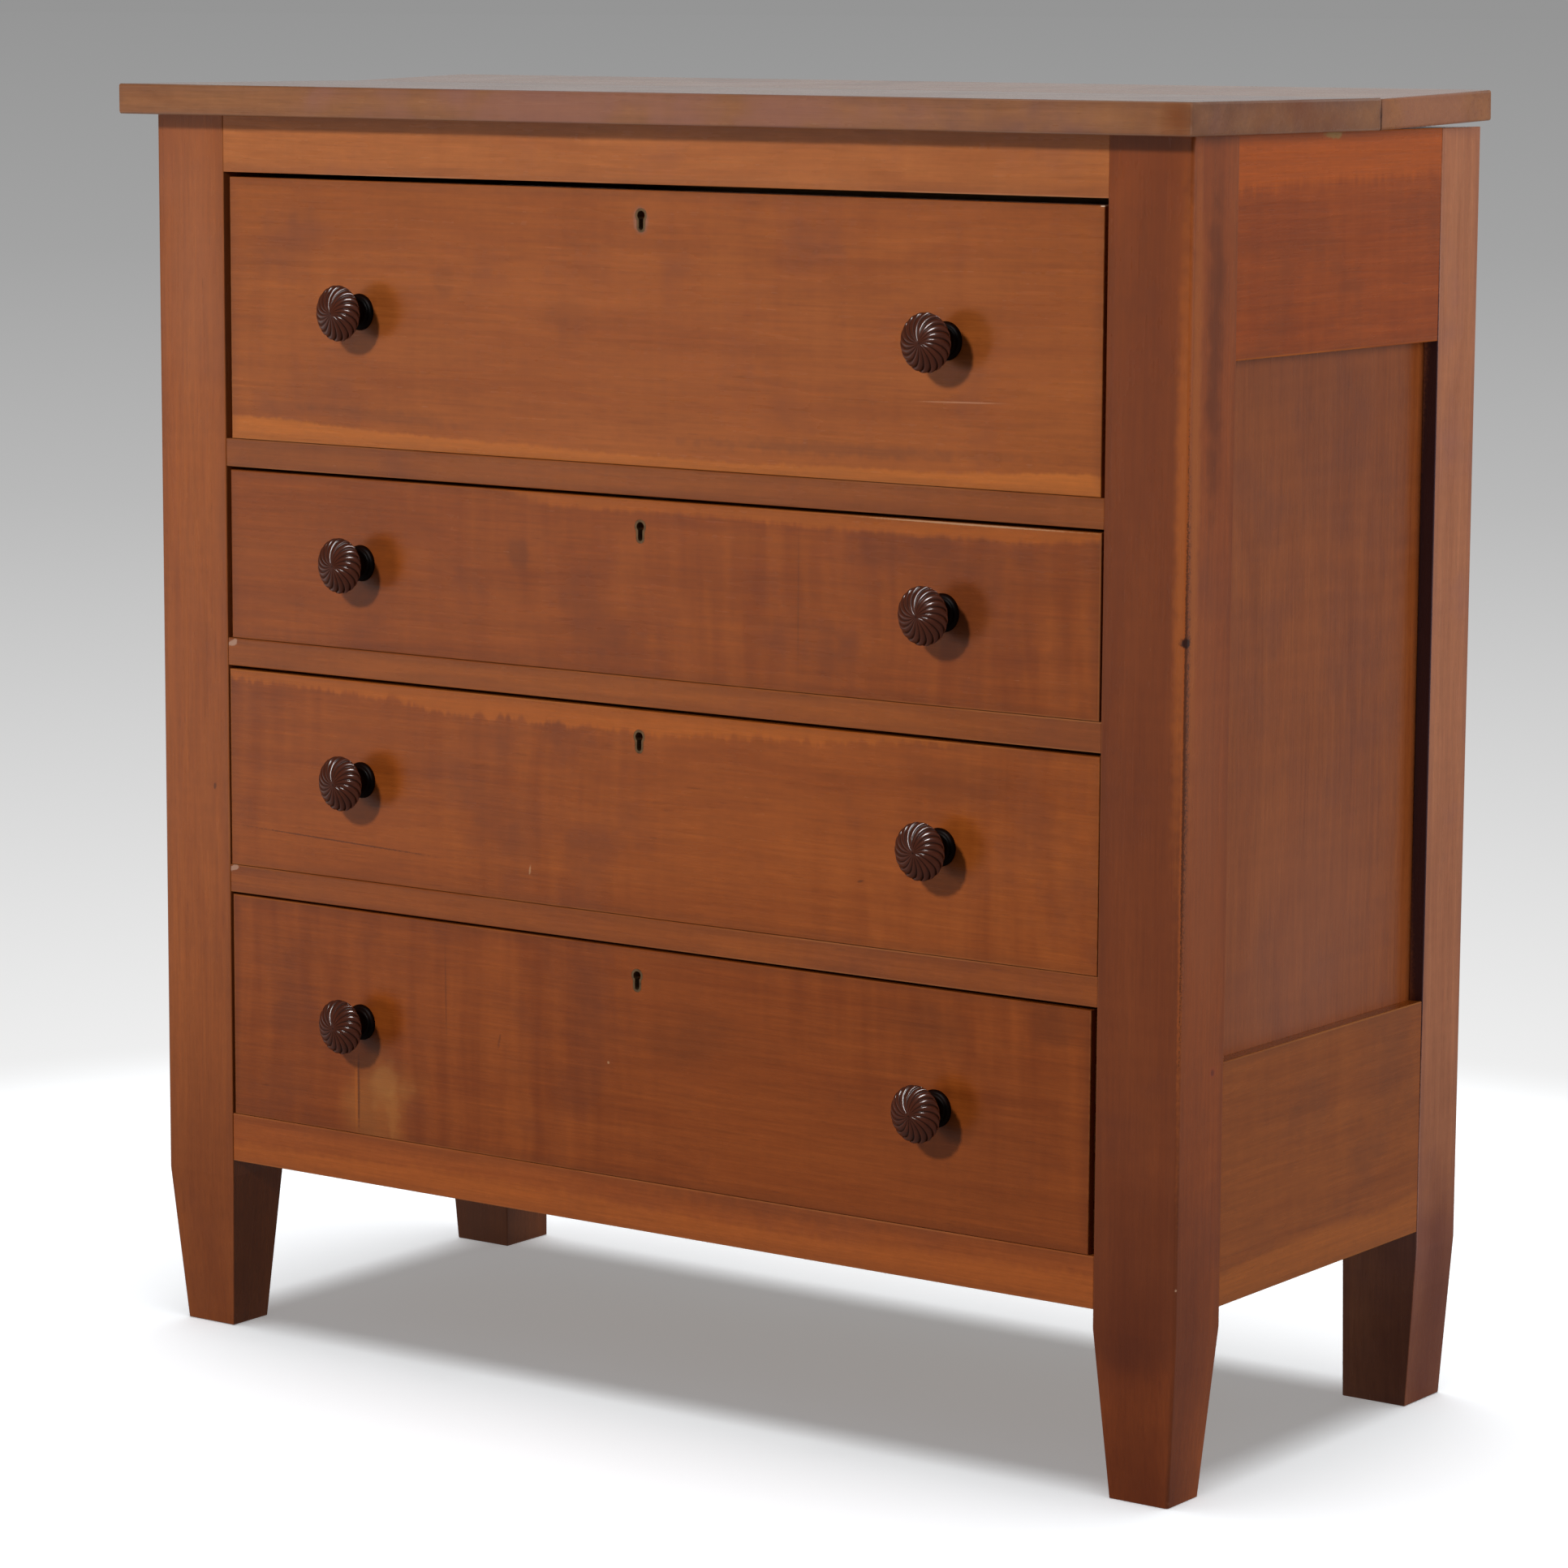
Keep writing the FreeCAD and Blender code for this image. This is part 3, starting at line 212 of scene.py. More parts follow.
class Paint(Tree):
    """The node tree of one material."""

    def __init__(self, name: str) -> None:
        """Starts an empty material."""
        self.material = bpy.data.materials.new(name)
        self.material.use_nodes = True
        super().__init__(self.material.node_tree)
        self.nodes.nodes.clear()

    def noise(self, vector: Value, scale: float = 1.0, detail: float = 2.0,
              rough: float = 0.5) -> Value:
        """Smooth noise round 0, mostly within 0.5 of it."""
        cloud = self.make("ShaderNodeTexNoise", inputs={
            "Vector": vector, "Scale": scale, "Detail": detail, "Roughness": rough})
        return cloud * 2.0 - 1.0

    def mix(self, first: Plug, second: Plug, share: Plug) -> Value:
        """The first colour, with share of the second over it."""
        return self.make("ShaderNodeMix", {"data_type": "RGBA"}, {0: share, 6: first, 7: second}, 2)

    def finish(self, colour: Plug, rough: Plug, relief: Optional[Value] = None, height: float = MM,
               metal: Plug = 0.0, **constants: float) -> bpy.types.Material:
        """Ends the tree in a Principled shader.

        Args:
            colour: base colour.
            rough: roughness.
            relief: a height that becomes bump, or None.
            height: how deep a relief of 1 is.
            metal: metallic.
            **constants: plain numbers for other sockets, named with underscores.

        Returns:
            The material.
        """
        inputs = {"Base Color": colour, "Roughness": rough, "Metallic": metal}
        if relief is not None:
            inputs["Normal"] = self.make("ShaderNodeBump", inputs={"Height": relief, "Distance": height})
        inputs.update({name.replace("_", " "): value for name, value in constants.items()})
        shader = self.make("ShaderNodeBsdfPrincipled", inputs=inputs)
        self.make("ShaderNodeOutputMaterial", inputs={"Surface": shader})
        return self.material


class Growth(Tree):
    """A Geometry Nodes tree with named sizes, whose result is kept as a plain mesh."""

    def __init__(self, name: str) -> None:
        """Starts a tree that takes in a mesh and gives one back."""
        self.group = bpy.data.node_groups.new(name, "GeometryNodeTree")
        super().__init__(self.group)
        self.inlet = self.nodes.nodes.new("NodeGroupInput")
        self.names: dict[str, str] = {}
        self.geometry = self.size("Geometry", "NodeSocketGeometry")
        self.group.interface.new_socket("Geometry", in_out="OUTPUT", socket_type="NodeSocketGeometry")

    def size(self, name: str, kind: str = "NodeSocketFloat") -> Value:
        """Adds a named input and hands back its value."""
        socket = self.group.interface.new_socket(name, in_out="INPUT", socket_type=kind)
        self.names[name] = socket.identifier
        return Value(self, self.inlet.outputs[name])

    def close(self, shape: Value, material: bpy.types.Material, smooth: bool) -> None:
        """Ends the tree: real meshes instead of instances, shading and a material.

        Args:
            shape: the geometry that is made so far.
            material: what it is dressed with.
            smooth: whether faces shade smooth.
        """
        real = self.make("GeometryNodeRealizeInstances", inputs={0: shape})
        shaded = self.make("GeometryNodeSetShadeSmooth", inputs={"Geometry": real, "Shade Smooth": smooth})
        dressed = self.make("GeometryNodeSetMaterial", inputs={"Geometry": shaded, "Material": material})
        self.make("NodeGroupOutput", inputs={0: dressed})

    def turn(self, seed: Value) -> Value:
        """A random turn for each instance, in radians."""
        return self.make("FunctionNodeRandomValue", {"data_type": "FLOAT"},
                         {"Min": 0.0, "Max": math.tau, "Seed": seed}, 1)

    def grow(self, name: str, blank: bpy.types.Mesh, sizes: dict[str, Any]) -> bpy.types.Object:
        """Runs the tree once.

        Args:
            name: the new piece's name.
            blank: the mesh that goes in.
            sizes: the named inputs.

        Returns:
            A linked object that holds the result as a plain mesh.
        """
        holder = add_object(name + "_holder", blank)
        modifier = holder.modifiers.new(name, "NODES")
        modifier.node_group = self.group
        for label, value in sizes.items():
            modifier[self.names[label]] = value
        graph = bpy.context.evaluated_depsgraph_get()
        mesh = bpy.data.meshes.new_from_object(holder.evaluated_get(graph), preserve_all_data_layers=True,
                                               depsgraph=graph)
        bpy.data.objects.remove(holder)
        mesh.name = name
        return add_object(name, mesh)


# ------------------------------------------------------------------ wood
class Grain(Enum):
    """The axis that a board's fibres run along."""

    WIDTH = 0
    DEPTH = 1
    HEIGHT = 2


class Face(Enum):
    """A face's two axes, the axis that crosses it, and its plane on that axis in millimetres."""

    FRONT = (0, 2, 1, -191.0)
    SIDE = (1, 2, 0, 486.0)


@dataclass(frozen=True)
class Mark:
    """A local mark on a board: a stain, scratch, crack, chip, rubbed patch, or painted shade, light or sheen.

    Attributes:
        centre: its middle on the face, in millimetres.
        size: its half width and half height, in millimetres.
        colour: what it turns the wood to.
        strength: how much of that colour, 0 to 1.
        turn: its turn on the face, in degrees.
        ragged: how far noise breaks its outline.
        soft: how much of its radius fades out.
        face: the face that it lies on.
        deep: how far it goes into the wood, in millimetres.
    """

    centre: tuple[float, float]
    size: tuple[float, float]
    colour: Colour
    strength: float
    turn: float = 0.0
    ragged: float = 0.5
    soft: float = 0.6
    face: Face = Face.FRONT
    deep: float = 8.0


@dataclass(frozen=True)
class Sapwood:
    """A paler band along a board's edge.

    Attributes:
        line: the band's inner limit as (place along, height) pairs, in millimetres.
        above: whether the band lies above the line.
        strength: how pale it is, 0 to 1.
        soft: how far it fades, in millimetres.
        comb: how far flame-like streaks of the wood break the limit, in millimetres.
        face: the axes of the line.
    """

    line: tuple[tuple[float, float], ...]
    above: bool
    strength: float = 1.0
    soft: float = 3.0
    comb: float = 2.0
    face: Face = Face.FRONT


@dataclass(frozen=True)
class Board:
    """One board's own look.

    Attributes:
        grain: the axis of its fibres.
        seed: which stretch of the endless timber it is cut from.
        tone: brightness and tint; where its blue is raised, most of all on the top boards and the right rear
            post, it is painted sheen.
        blotch: strength of its clouds.
        curl: strength of the faint bands across its grain.
        sapwood: its paler edges.
        marks: its marks.
    """

    grain: Grain
    seed: float
    tone: Colour = (1.0, 1.0, 1.0)
    blotch: float = 1.0
    curl: float = 1.0
    sapwood: tuple[Sapwood, ...] = ()
    marks: tuple[Mark, ...] = ()


@dataclass(frozen=True)
class Pattern:
    """One pattern of the grain.

    Attributes:
        across: its scale across the fibres, per metre.
        along: its scale along them, per metre.
        sway: how far it sways.
        detail: octaves of its noise.
        rough: how much the small octaves count.
    """

    across: float
    along: float
    sway: float = 0.0
    detail: float = 2.0
    rough: float = 0.5


FIGURE = Pattern(34.0, 2.2, 0.9, 3.0, 0.6)
STREAK = Pattern(170.0, 3.5, 1.5)
FIBRE = Pattern(950.0, 22.0)
THREAD = Pattern(400.0, 14.0)
PORES = Pattern(420.0, 45.0, detail=1.0)
CURL = Pattern(5.0, 62.0, 1.2)
TEETH = Pattern(6.0, 150.0)
MOTTLE = Pattern(260.0, 110.0, 0.0, 3.0, 0.7)


@dataclass(frozen=True)
class Timber:
    """A timber as it is finished and aged.

    Attributes:
        light, dark: the limits of its plain wood.
        cloud: what its clouds turn to.
        sap: its sapwood.
        fleck: gum flecks and pores.
        grime: dirt by its edges.
        rubbed: its arrises where hands wear them.
        figure, streak, fibre, curl: strengths of the main patterns.
        rough: roughness.
        specular: strength of its mirror sheen.
        relief: depth of its open grain, in metres.
        clouding, pores, thread, teeth, mottle: strengths of its clouds and of the finer patterns.
        dirt: strength of the grime, which fades out over dirt_reach metres from an arris.
        arris: width of a rubbed arris, in metres.
        wear: strength of the rubbed colour there.
        dulled: how much rougher the arris is.
    """

    light: Colour
    dark: Colour
    cloud: Colour
    sap: Colour
    fleck: Colour
    grime: Colour
    rubbed: Colour
    figure: float
    streak: float
    fibre: float
    curl: float
    rough: float
    specular: float
    relief: float
    clouding: float = 0.55
    pores: float = 0.22
    thread: float = 0.16
    teeth: float = 0.05
    mottle: float = 0.14
    dirt: float = 0.22
    dirt_reach: float = 0.011
    arris: float = 0.0016
    wear: float = 0.5
    dulled: float = 0.38

    def dress(self, name: str, board: Board, low: Vector, high: Vector) -> bpy.types.Material:
        """Makes one board's material.

        Args:
            name: the material's name.
            board: the board's own look.
            low: the board's lowest corner.
            high: its highest corner.

        Returns:
            The material.
        """
        paint = Paint(name)
        place = paint.place()
        spot = place + (board.seed * 1.37, board.seed * -0.71, board.seed * 2.13)
        waver = paint.noise(spot, 5.0, 1.0)

        def pattern(kind: Pattern) -> Value:
            """Lays one pattern along the board's fibres."""
            scales = [kind.across] * 3
            scales[board.grain.value] = kind.along
            laid = spot * tuple(scales)
            if kind.sway:
                laid = laid + waver * kind.sway
            return paint.noise(laid, 1.0, kind.detail, kind.rough)

        figure, streak, fibre = pattern(FIGURE), pattern(STREAK), pattern(FIBRE)
        cloud = paint.noise(spot + waver * 0.01, 13.0, 4.0, 0.6)
        haze = paint.noise(spot + (3.1, 1.7, 5.3), 3.2, 1.0)
        curl = pattern(CURL) * paint.ease(haze, -0.35, 0.3)
        teeth, thread, mottle = pattern(TEETH), pattern(THREAD), pattern(MOTTLE)

        share = 0.5 + figure * self.figure + streak * self.streak + curl * (self.curl * board.curl)
        colour = paint.mix(self.dark, self.light, paint.ease(share, 0.0, 1.0))
        clouds = paint.ease(cloud + haze * 0.5, -0.05, 0.6)
        colour = paint.mix(colour, self.cloud, clouds * (self.clouding * board.blotch))
        pores = paint.ease(pattern(PORES), 0.42, 0.62)
        colour = paint.mix(colour, self.fleck, pores * self.pores)
        for band in board.sapwood:
            colour = paint.mix(colour, self.sap, self._band(paint, place, band, teeth, fibre) * band.strength)
        colour = colour * (1.0 + fibre * self.fibre + thread * self.thread + teeth * self.teeth
                           + mottle * self.mottle)

        edge = self._edge(paint, place, low, high)
        grime = paint.ease(edge + cloud * 0.004, self.dirt_reach, 0.0) * self.dirt
        colour = paint.mix(colour, self.grime, grime)
        arris = paint.ease(edge, self.arris, self.arris / 8)
        rubbing = arris * paint.ease(haze + streak * 0.5, -0.3, 0.35)
        colour = paint.mix(colour, self.rubbed, rubbing * self.wear)
        for mark in board.marks:
            colour = paint.mix(colour, mark.colour, self._mark(paint, place, mark))
        rough = self.rough + cloud * 0.05 + streak * 0.04 + arris * self.dulled
        relief = fibre * 0.5 + streak * 0.5 - pores * 0.5
        return paint.finish(colour * board.tone, rough, relief, self.relief,
                            Specular_IOR_Level=self.specular)

    @staticmethod
    def _edge(paint: Paint, place: Value, low: Vector, high: Vector) -> Value:
        """The way from a point of the surface to the nearest arris: the middle one of the three
        distances to the board's box."""
        middle, half = (low + high) / 2, (high - low) / 2
        away = paint.make("ShaderNodeVectorMath", {"operation": "ABSOLUTE"}, {0: place - middle[:]})
        x, y, z = paint.split(half[:] - away)
        smaller, larger = paint.sum_of("MINIMUM", x, y), paint.sum_of("MAXIMUM", x, y)
        return paint.sum_of("MAXIMUM", smaller, paint.sum_of("MINIMUM", larger, z))

    @staticmethod
    def _band(paint: Paint, place: Value, band: Sapwood, teeth: Value, fibre: Value) -> Value:
        """How much sapwood there is at a point, 0 to 1."""
        parts = paint.split(place)
        along, height = parts[band.face.value[0]], parts[band.face.value[1]]
        first, last = band.line[0][0] * MM, band.line[-1][0] * MM
        floor = min(z for _, z in band.line) * MM - MM
        rise = max(z for _, z in band.line) * MM + MM - floor
        stops = [((x * MM - first) / (last - first), (z * MM - floor) / rise) for x, z in band.line]
        ramp = paint.make("ShaderNodeValToRGB", {"stops": stops}, {0: (along - first) / (last - first)})
        level = paint.make("ShaderNodeSeparateXYZ", inputs={0: ramp}) * rise + floor
        over = height - level + teeth * (band.comb * MM * 2.0) + fibre * MM
        soft = band.soft * MM
        return paint.ease(over, -soft, soft) if band.above else paint.ease(over, soft, -soft)

    @staticmethod
    def _mark(paint: Paint, place: Value, mark: Mark) -> Value:
        """How much of a mark there is at a point, 0 to its strength."""
        first, second, across, plane = mark.face.value
        centre, size, turn = [0.0] * 3, [0.0] * 3, [0.0] * 3
        centre[first], centre[second], centre[across] = mark.centre[0] * MM, mark.centre[1] * MM, plane * MM
        size[first], size[second], size[across] = mark.size[0] * MM, mark.size[1] * MM, mark.deep * MM
        turn[across] = math.radians(-mark.turn if mark.face is Face.FRONT else mark.turn)
        local = paint.make("ShaderNodeMapping", {"vector_type": "TEXTURE"}, {
            "Vector": place, "Location": centre, "Rotation": turn, "Scale": size})
        ragged = paint.noise(place, 0.9 / (min(mark.size) * MM), 2.0) * mark.ragged
        return paint.ease(paint.length(local) + ragged, 1.0, 1.0 - mark.soft) * mark.strength


CHERRY = Timber(
    light=(0.330, 0.088, 0.0155), dark=(0.215, 0.050, 0.0085), cloud=(0.180, 0.050, 0.018),
    sap=(0.395, 0.108, 0.016), fleck=(0.075, 0.018, 0.006), grime=(0.075, 0.024, 0.010),
    rubbed=(0.42, 0.165, 0.055), figure=0.42, streak=0.20, fibre=0.16, curl=0.40,
    rough=0.27, specular=0.40, relief=0.00006)
POPLAR = Timber(
    light=(0.530, 0.310, 0.143), dark=(0.350, 0.180, 0.073), cloud=(0.250, 0.138, 0.064),
    sap=(0.60, 0.45, 0.26), fleck=(0.120, 0.070, 0.035), grime=(0.090, 0.055, 0.030),
    rubbed=(0.55, 0.38, 0.20), figure=0.75, streak=0.6, fibre=0.35, curl=0.3,
    rough=0.78, specular=0.2, relief=0.00025)

WHITE = (1.0, 1.0, 1.0)
ORANGE = (0.45, 0.135, 0.020)
PALE = (0.62, 0.44, 0.27)
# Near black, for cracks, holes and joints, and for the painted shadow in the right side panel's recess.
CRACK_AND_SHADE = (0.030, 0.010, 0.006)
UMBER = (0.105, 0.032, 0.012)

DRAWER_LOOKS = {
    1: Board(Grain.WIDTH, 1.0, (0.99, 1.01, 1.14), 1.3, 0.7,
             (Sapwood(((-410, 754), (-200, 746), (60, 742), (260, 745), (413, 750.5)),
                      False, 1.0, 1.8, 1.5),),
             (Mark((-67, 845), (26, 26), UMBER, 0.16), Mark((-190, 867), (14, 22), UMBER, 0.18),
              Mark((190, 757), (220, 7), UMBER, 0.34, 0.5, 0.6, 0.8),
              Mark((-250, 760), (130, 7), UMBER, 0.28, -2, 0.6, 0.8),
              Mark((292, 796.8), (46, 0.75), (0.44, 0.20, 0.10), 0.6, 1.5, 0.3, 0.5),
              Mark((411.5, 942), (2.4, 1.5), PALE, 0.9, 0, 0.5, 0.3),
              Mark((1.6, 920), (8.2, 12.5), (0.24, 0.13, 0.085), 0.45, 0, 0.25, 0.35))),
    2: Board(Grain.WIDTH, 2.3, (0.83, 0.75, 0.72), 1.35, 1.6,
             (Sapwood(((-414, 716), (-170, 713), (-70, 700), (60, 700.5), (200, 698), (340, 698), (416, 703)),
                      True, 0.95, 3.0, 2.0),),
             (Mark((148.8, 640), (0.9, 66), UMBER, 0.45, 0, 0.35), Mark((-118, 662), (15, 17), UMBER, 0.35),
              Mark((300, 708.6), (110, 0.9), PALE, 0.5, 0, 0.6, 0.5))),
    3: Board(Grain.WIDTH, 3.7, (0.93, 0.85, 0.77), 1.25, 1.6,
             (Sapwood(((-415, 541), (-250, 538), (-195, 531), (10, 531), (140, 537), (271, 546), (370, 556)),
                      True, 0.75, 2.5, 4.5),),
             (Mark((-298, 418), (118, 0.8), CRACK_AND_SHADE, 0.6, -1.7, 0.8, 0.5),
              Mark((-106, 414), (1.2, 5.0), PALE, 0.35, -8),
              Mark((207, 437), (4.0, 1.2), CRACK_AND_SHADE, 0.5, 14), Mark((300, 520), (60, 24), UMBER, 0.18))),
    4: Board(Grain.WIDTH, 5.1, (0.78, 0.66, 0.55), 1.25, 1.6, (),
             (Mark((-191, 308), (0.8, 52), UMBER, 0.5, 1, 0.5),
              Mark((-258, 216), (46, 46), (0.42, 0.185, 0.050), 0.34, 0, 0.9, 0.9),
              Mark((-251, 226), (26, 22), (0.48, 0.25, 0.080), 0.28, 0, 1.2, 0.8),
              Mark((-246, 202), (9, 34), (0.48, 0.22, 0.060), 0.26, 4, 1.0, 0.8),
              Mark((-281.5, 216), (1.5, 38), UMBER, 0.7, 0, 0.3, 0.5),
              Mark((-284, 214), (2.0, 36), ORANGE, 0.5, 0, 0.3, 0.6),
              Mark((380, 345), (30, 20), UMBER, 0.35), Mark((-137, 275), (1.6, 9), UMBER, 0.45, -12),
              Mark((310, 250), (150, 90), UMBER, 0.13, 0, 0.5, 0.9),
              Mark((60, 300), (70, 34), UMBER, 0.26, 0, 0.9, 0.9),
              Mark((270, 335), (60, 26), UMBER, 0.24, 0, 0.9, 0.9),
              Mark((-29, 271), (1.4, 1.4), PALE, 0.5))),
}

CASE_LOOKS = {
    # Left front post: the raised blue of its tint is painted sheen.
    "left_front_post": Board(
        Grain.HEIGHT, 6.0, (1.00, 1.01, 1.20), 0.8, 0.4, (),
        (Mark((-431.5, 451), (2.4, 3.4), CRACK_AND_SHADE, 0.6),
         # Painted sheen: paler and bluer at the top of the post.
         Mark((-451, 900), (60, 200), (0.36, 0.18, 0.10), 0.14, 0, 0.3, 0.9, deep=30.0),
         # Painted shade: darker towards the foot.
         Mark((-451, -20), (90, 470), (0.090, 0.018, 0.004), 0.50, 0, 0.2, 0.9, deep=90.0))),
    "right_front_post": Board(
        Grain.HEIGHT, 7.4, (0.95, 0.82, 0.87), 1.1, 0.5, (),
        (Mark((448, 480), (75, 900), (0.085, 0.026, 0.011), 0.54, 0, 0.2, 0.5, deep=3.0),
         # Painted shade: darker towards the foot, on the front.
         Mark((450, -20), (80, 330), (0.066, 0.010, 0.001), 0.74, 0, 0.3, 0.9, deep=60.0),
         Mark((481, 720), (9.0, 340), ORANGE, 0.50, 0, 0.35, 0.9),
         Mark((-183, 740), (11.0, 330), (0.40, 0.125, 0.022), 0.70, 0, 0.35, 0.8, Face.SIDE),
         Mark((-160, 500), (40.0, 260), (0.28, 0.100, 0.035), 0.30, 0, 0.3, 0.9, Face.SIDE),
         Mark((485.5, 600), (3.0, 430), (0.30, 0.085, 0.018), 0.88, 0, 0.3, 0.5, deep=6.0),
         Mark((-158, 850), (16.0, 170), (0.100, 0.022, 0.004), 0.60, 0, 0.5, 0.8, Face.SIDE),
         # Painted shade: darker towards the foot, on the side.
         Mark((-160, 60), (70, 340), (0.100, 0.016, 0.001), 0.38, 0, 0.3, 0.9, Face.SIDE),
         Mark((485.4, 560), (1.0, 250), CRACK_AND_SHADE, 0.75, 0, 0.9, 0.5),
         Mark((485, 635.6), (3.0, 4.5), CRACK_AND_SHADE, 0.95, 0, 0.4, 0.4),
         Mark((-190, 635.6), (2.5, 4.5), CRACK_AND_SHADE, 0.95, 0, 0.4, 0.4, Face.SIDE),
         Mark((-144.7, 318.8), (2.6, 2.8), CRACK_AND_SHADE, 0.95, 0, 0.3, 0.3, Face.SIDE),
         Mark((-144.7, 318.8), (5.6, 6.0), (0.30, 0.06, 0.02), 0.5, 0, 0.3, 0.6, Face.SIDE),
         Mark((-190, 166), (0.9, 1.3), PALE, 0.6, 0, 0.5, 0.5, Face.SIDE),
         Mark((-186, 20), (2.0, 26), CRACK_AND_SHADE, 0.6, 4, 0.5, 0.6, Face.SIDE),
         Mark((478, 4), (5.0, 2.0), (0.40, 0.17, 0.06), 0.6, -10, 0.6, 0.6, deep=16.0))),
    "left_rear_post": Board(
        Grain.HEIGHT, 8.2, (0.95, 0.95, 1.0), 1.0, 1.0, (),
        # Painted shade under the chest: the leg darkened where the case shades it.
        (Mark((-450, 0), (90, 190), (0.090, 0.034, 0.018), 0.75, 0, 0.3, 0.6, deep=800.0),)),
    # Right rear post: its pale, blue tint is painted sheen.
    "right_rear_post": Board(
        Grain.HEIGHT, 9.5, (1.42, 1.98, 5.0), 0.7, 0.4, (),
        # Painted shadow: the black line in the side panel's recess, along this post's front edge.
        (Mark((167.5, 578), (1.6, 400), CRACK_AND_SHADE, 0.93, 0, 0.1, 0.3, Face.SIDE, 17.0),
         # Painted shade under the chest: the foot darkened where the case shades it.
         Mark((203, -20), (80, 420), (0.070, 0.006, 0.0001), 0.84, 0, 0.3, 0.9, Face.SIDE, 90.0))),
    # Top boards: the pale, blue tint is painted sheen.
    "top_front_board": Board(
        Grain.WIDTH, 10.1, (0.90, 1.40, 3.1), 1.3, 0.4, (),
        # Painted sheen: the pinker front edge of the top.
        (Mark((0, 1004), (560, 40), (0.26, 0.07, 0.026), 0.5, 0, 0.4, 0.3, Face.FRONT, 38.0),
         Mark((45.0, 1003), (1.5, 15), CRACK_AND_SHADE, 0.85, 0, 0.2, 0.5, Face.SIDE, 22.0),
         Mark((-80, 1004), (190, 40), (0.18, 0.025, 0.0008), 0.85, 0, 0.5, 0.7, Face.SIDE, 22.0),
         Mark((-170, 1006), (60, 30), (0.11, 0.022, 0.0035), 0.45, 0, 0.8, 0.9, Face.SIDE, 22.0),
         Mark((470, 1004), (60, 30), (0.13, 0.028, 0.006), 0.45, 0, 0.8, 0.9, Face.FRONT, 35.0))),
    # Painted sheen: the pale, blue tint of this board.
    "top_rear_board": Board(
        Grain.WIDTH, 11.6, (1.15, 1.70, 3.2), 1.2, 0.4, (),
        (Mark((130, 1006), (110, 50), (0.27, 0.07, 0.023), 0.5, 0, 0.4, 0.4, Face.SIDE, 26.0),
         Mark((47.4, 1003), (1.3, 15), CRACK_AND_SHADE, 0.85, 0, 0.2, 0.5, Face.SIDE, 22.0),)),
    # Painted sheen: the raised blue of the top rail's tint.
    "top_rail": Board(Grain.WIDTH, 12.2, (1.26, 1.52, 2.35), 0.9, 0.5),
    "drawer_rail_1": Board(Grain.WIDTH, 13.9, (0.85, 0.88, 1.08), 0.9, 0.3),
    "drawer_rail_2": Board(Grain.WIDTH, 14.3, (0.92, 0.92, 1.0), 0.9, 0.3, (),
                           (Mark((-411, 569.5), (5.5, 3.0), (0.42, 0.24, 0.15), 0.8, 20, 0.6, 0.3),)),
    "drawer_rail_3": Board(Grain.WIDTH, 15.7, (0.91, 0.875, 0.94), 0.9, 0.3, (),
                           (Mark((-412, 385.5), (5.5, 2.6), (0.42, 0.24, 0.15), 0.8, 20, 0.6, 0.3),)),
    "bottom_rail": Board(Grain.WIDTH, 16.8, (0.945, 0.85, 0.88), 0.7, 0.3,
                         (Sapwood(((-416, 158), (-150, 163), (100, 160), (416, 166)), False, 0.5, 5.0, 3.0),),
                         (Mark((120, 176), (130, 9), UMBER, 0.26, 0, 0.8, 0.8),
                          Mark((-60, 152), (40, 14), UMBER, 0.16, 0, 0.8, 0.9))),
    "left_side_top_rail": Board(Grain.DEPTH, 17.5, (0.95, 0.95, 1.0)),
    "right_side_top_rail": Board(
        Grain.DEPTH, 18.3, (1.08, 0.76, 0.22), 1.1, 0.8,
        (Sapwood(((-160, 951), (0, 955), (100, 957), (196, 960)), True, 0.7, 6.0, 5.0, Face.SIDE),),
        (Mark((5, 990), (17, 4.0), (0.30, 0.27, 0.27), 0.7, 0, 0.7, 0.5, Face.SIDE),)),
    "left_side_bottom_rail": Board(Grain.DEPTH, 19.1, (0.9, 0.9, 0.95)),
    "right_side_bottom_rail": Board(
        Grain.DEPTH, 20.9, (0.98, 0.95, 0.72), 1.0, 0.5,
        (Sapwood(((-160, 165), (0, 172), (100, 170), (196, 176)), False, 0.55, 3.0, 1.5, Face.SIDE),)),
    "left_side_panel": Board(Grain.HEIGHT, 21.4, (0.9, 0.9, 1.0), 0.7, 0.3),
    "right_side_panel": Board(
        Grain.HEIGHT, 22.6, (0.94, 0.93, 1.18), 0.9, 0.5, (),
        # Painted shade at the top of the panel and painted light lower down, which even out the fill lamp's
        # fall of light.
        (Mark((0, 790), (200, 160), (0.105, 0.030, 0.014), 0.20, 0, 0.3, 0.9, Face.SIDE, 40.0),
         Mark((0, 380), (200, 200), (0.34, 0.135, 0.065), 0.26, 0, 0.3, 0.9, Face.SIDE, 40.0))),
}

INSIDE_LOOKS = {
    "rear_top_rail": Board(Grain.WIDTH, 30.0), "rear_bottom_rail": Board(Grain.WIDTH, 31.0),
    "back_boards": Board(Grain.HEIGHT, 32.0, (0.85, 0.82, 0.8), 1.5, 0.5),
    "runners_and_kickers": Board(Grain.DEPTH, 33.0), "drawer_guides": Board(Grain.DEPTH, 34.0),
    "drawer_stops": Board(Grain.WIDTH, 35.0),
}


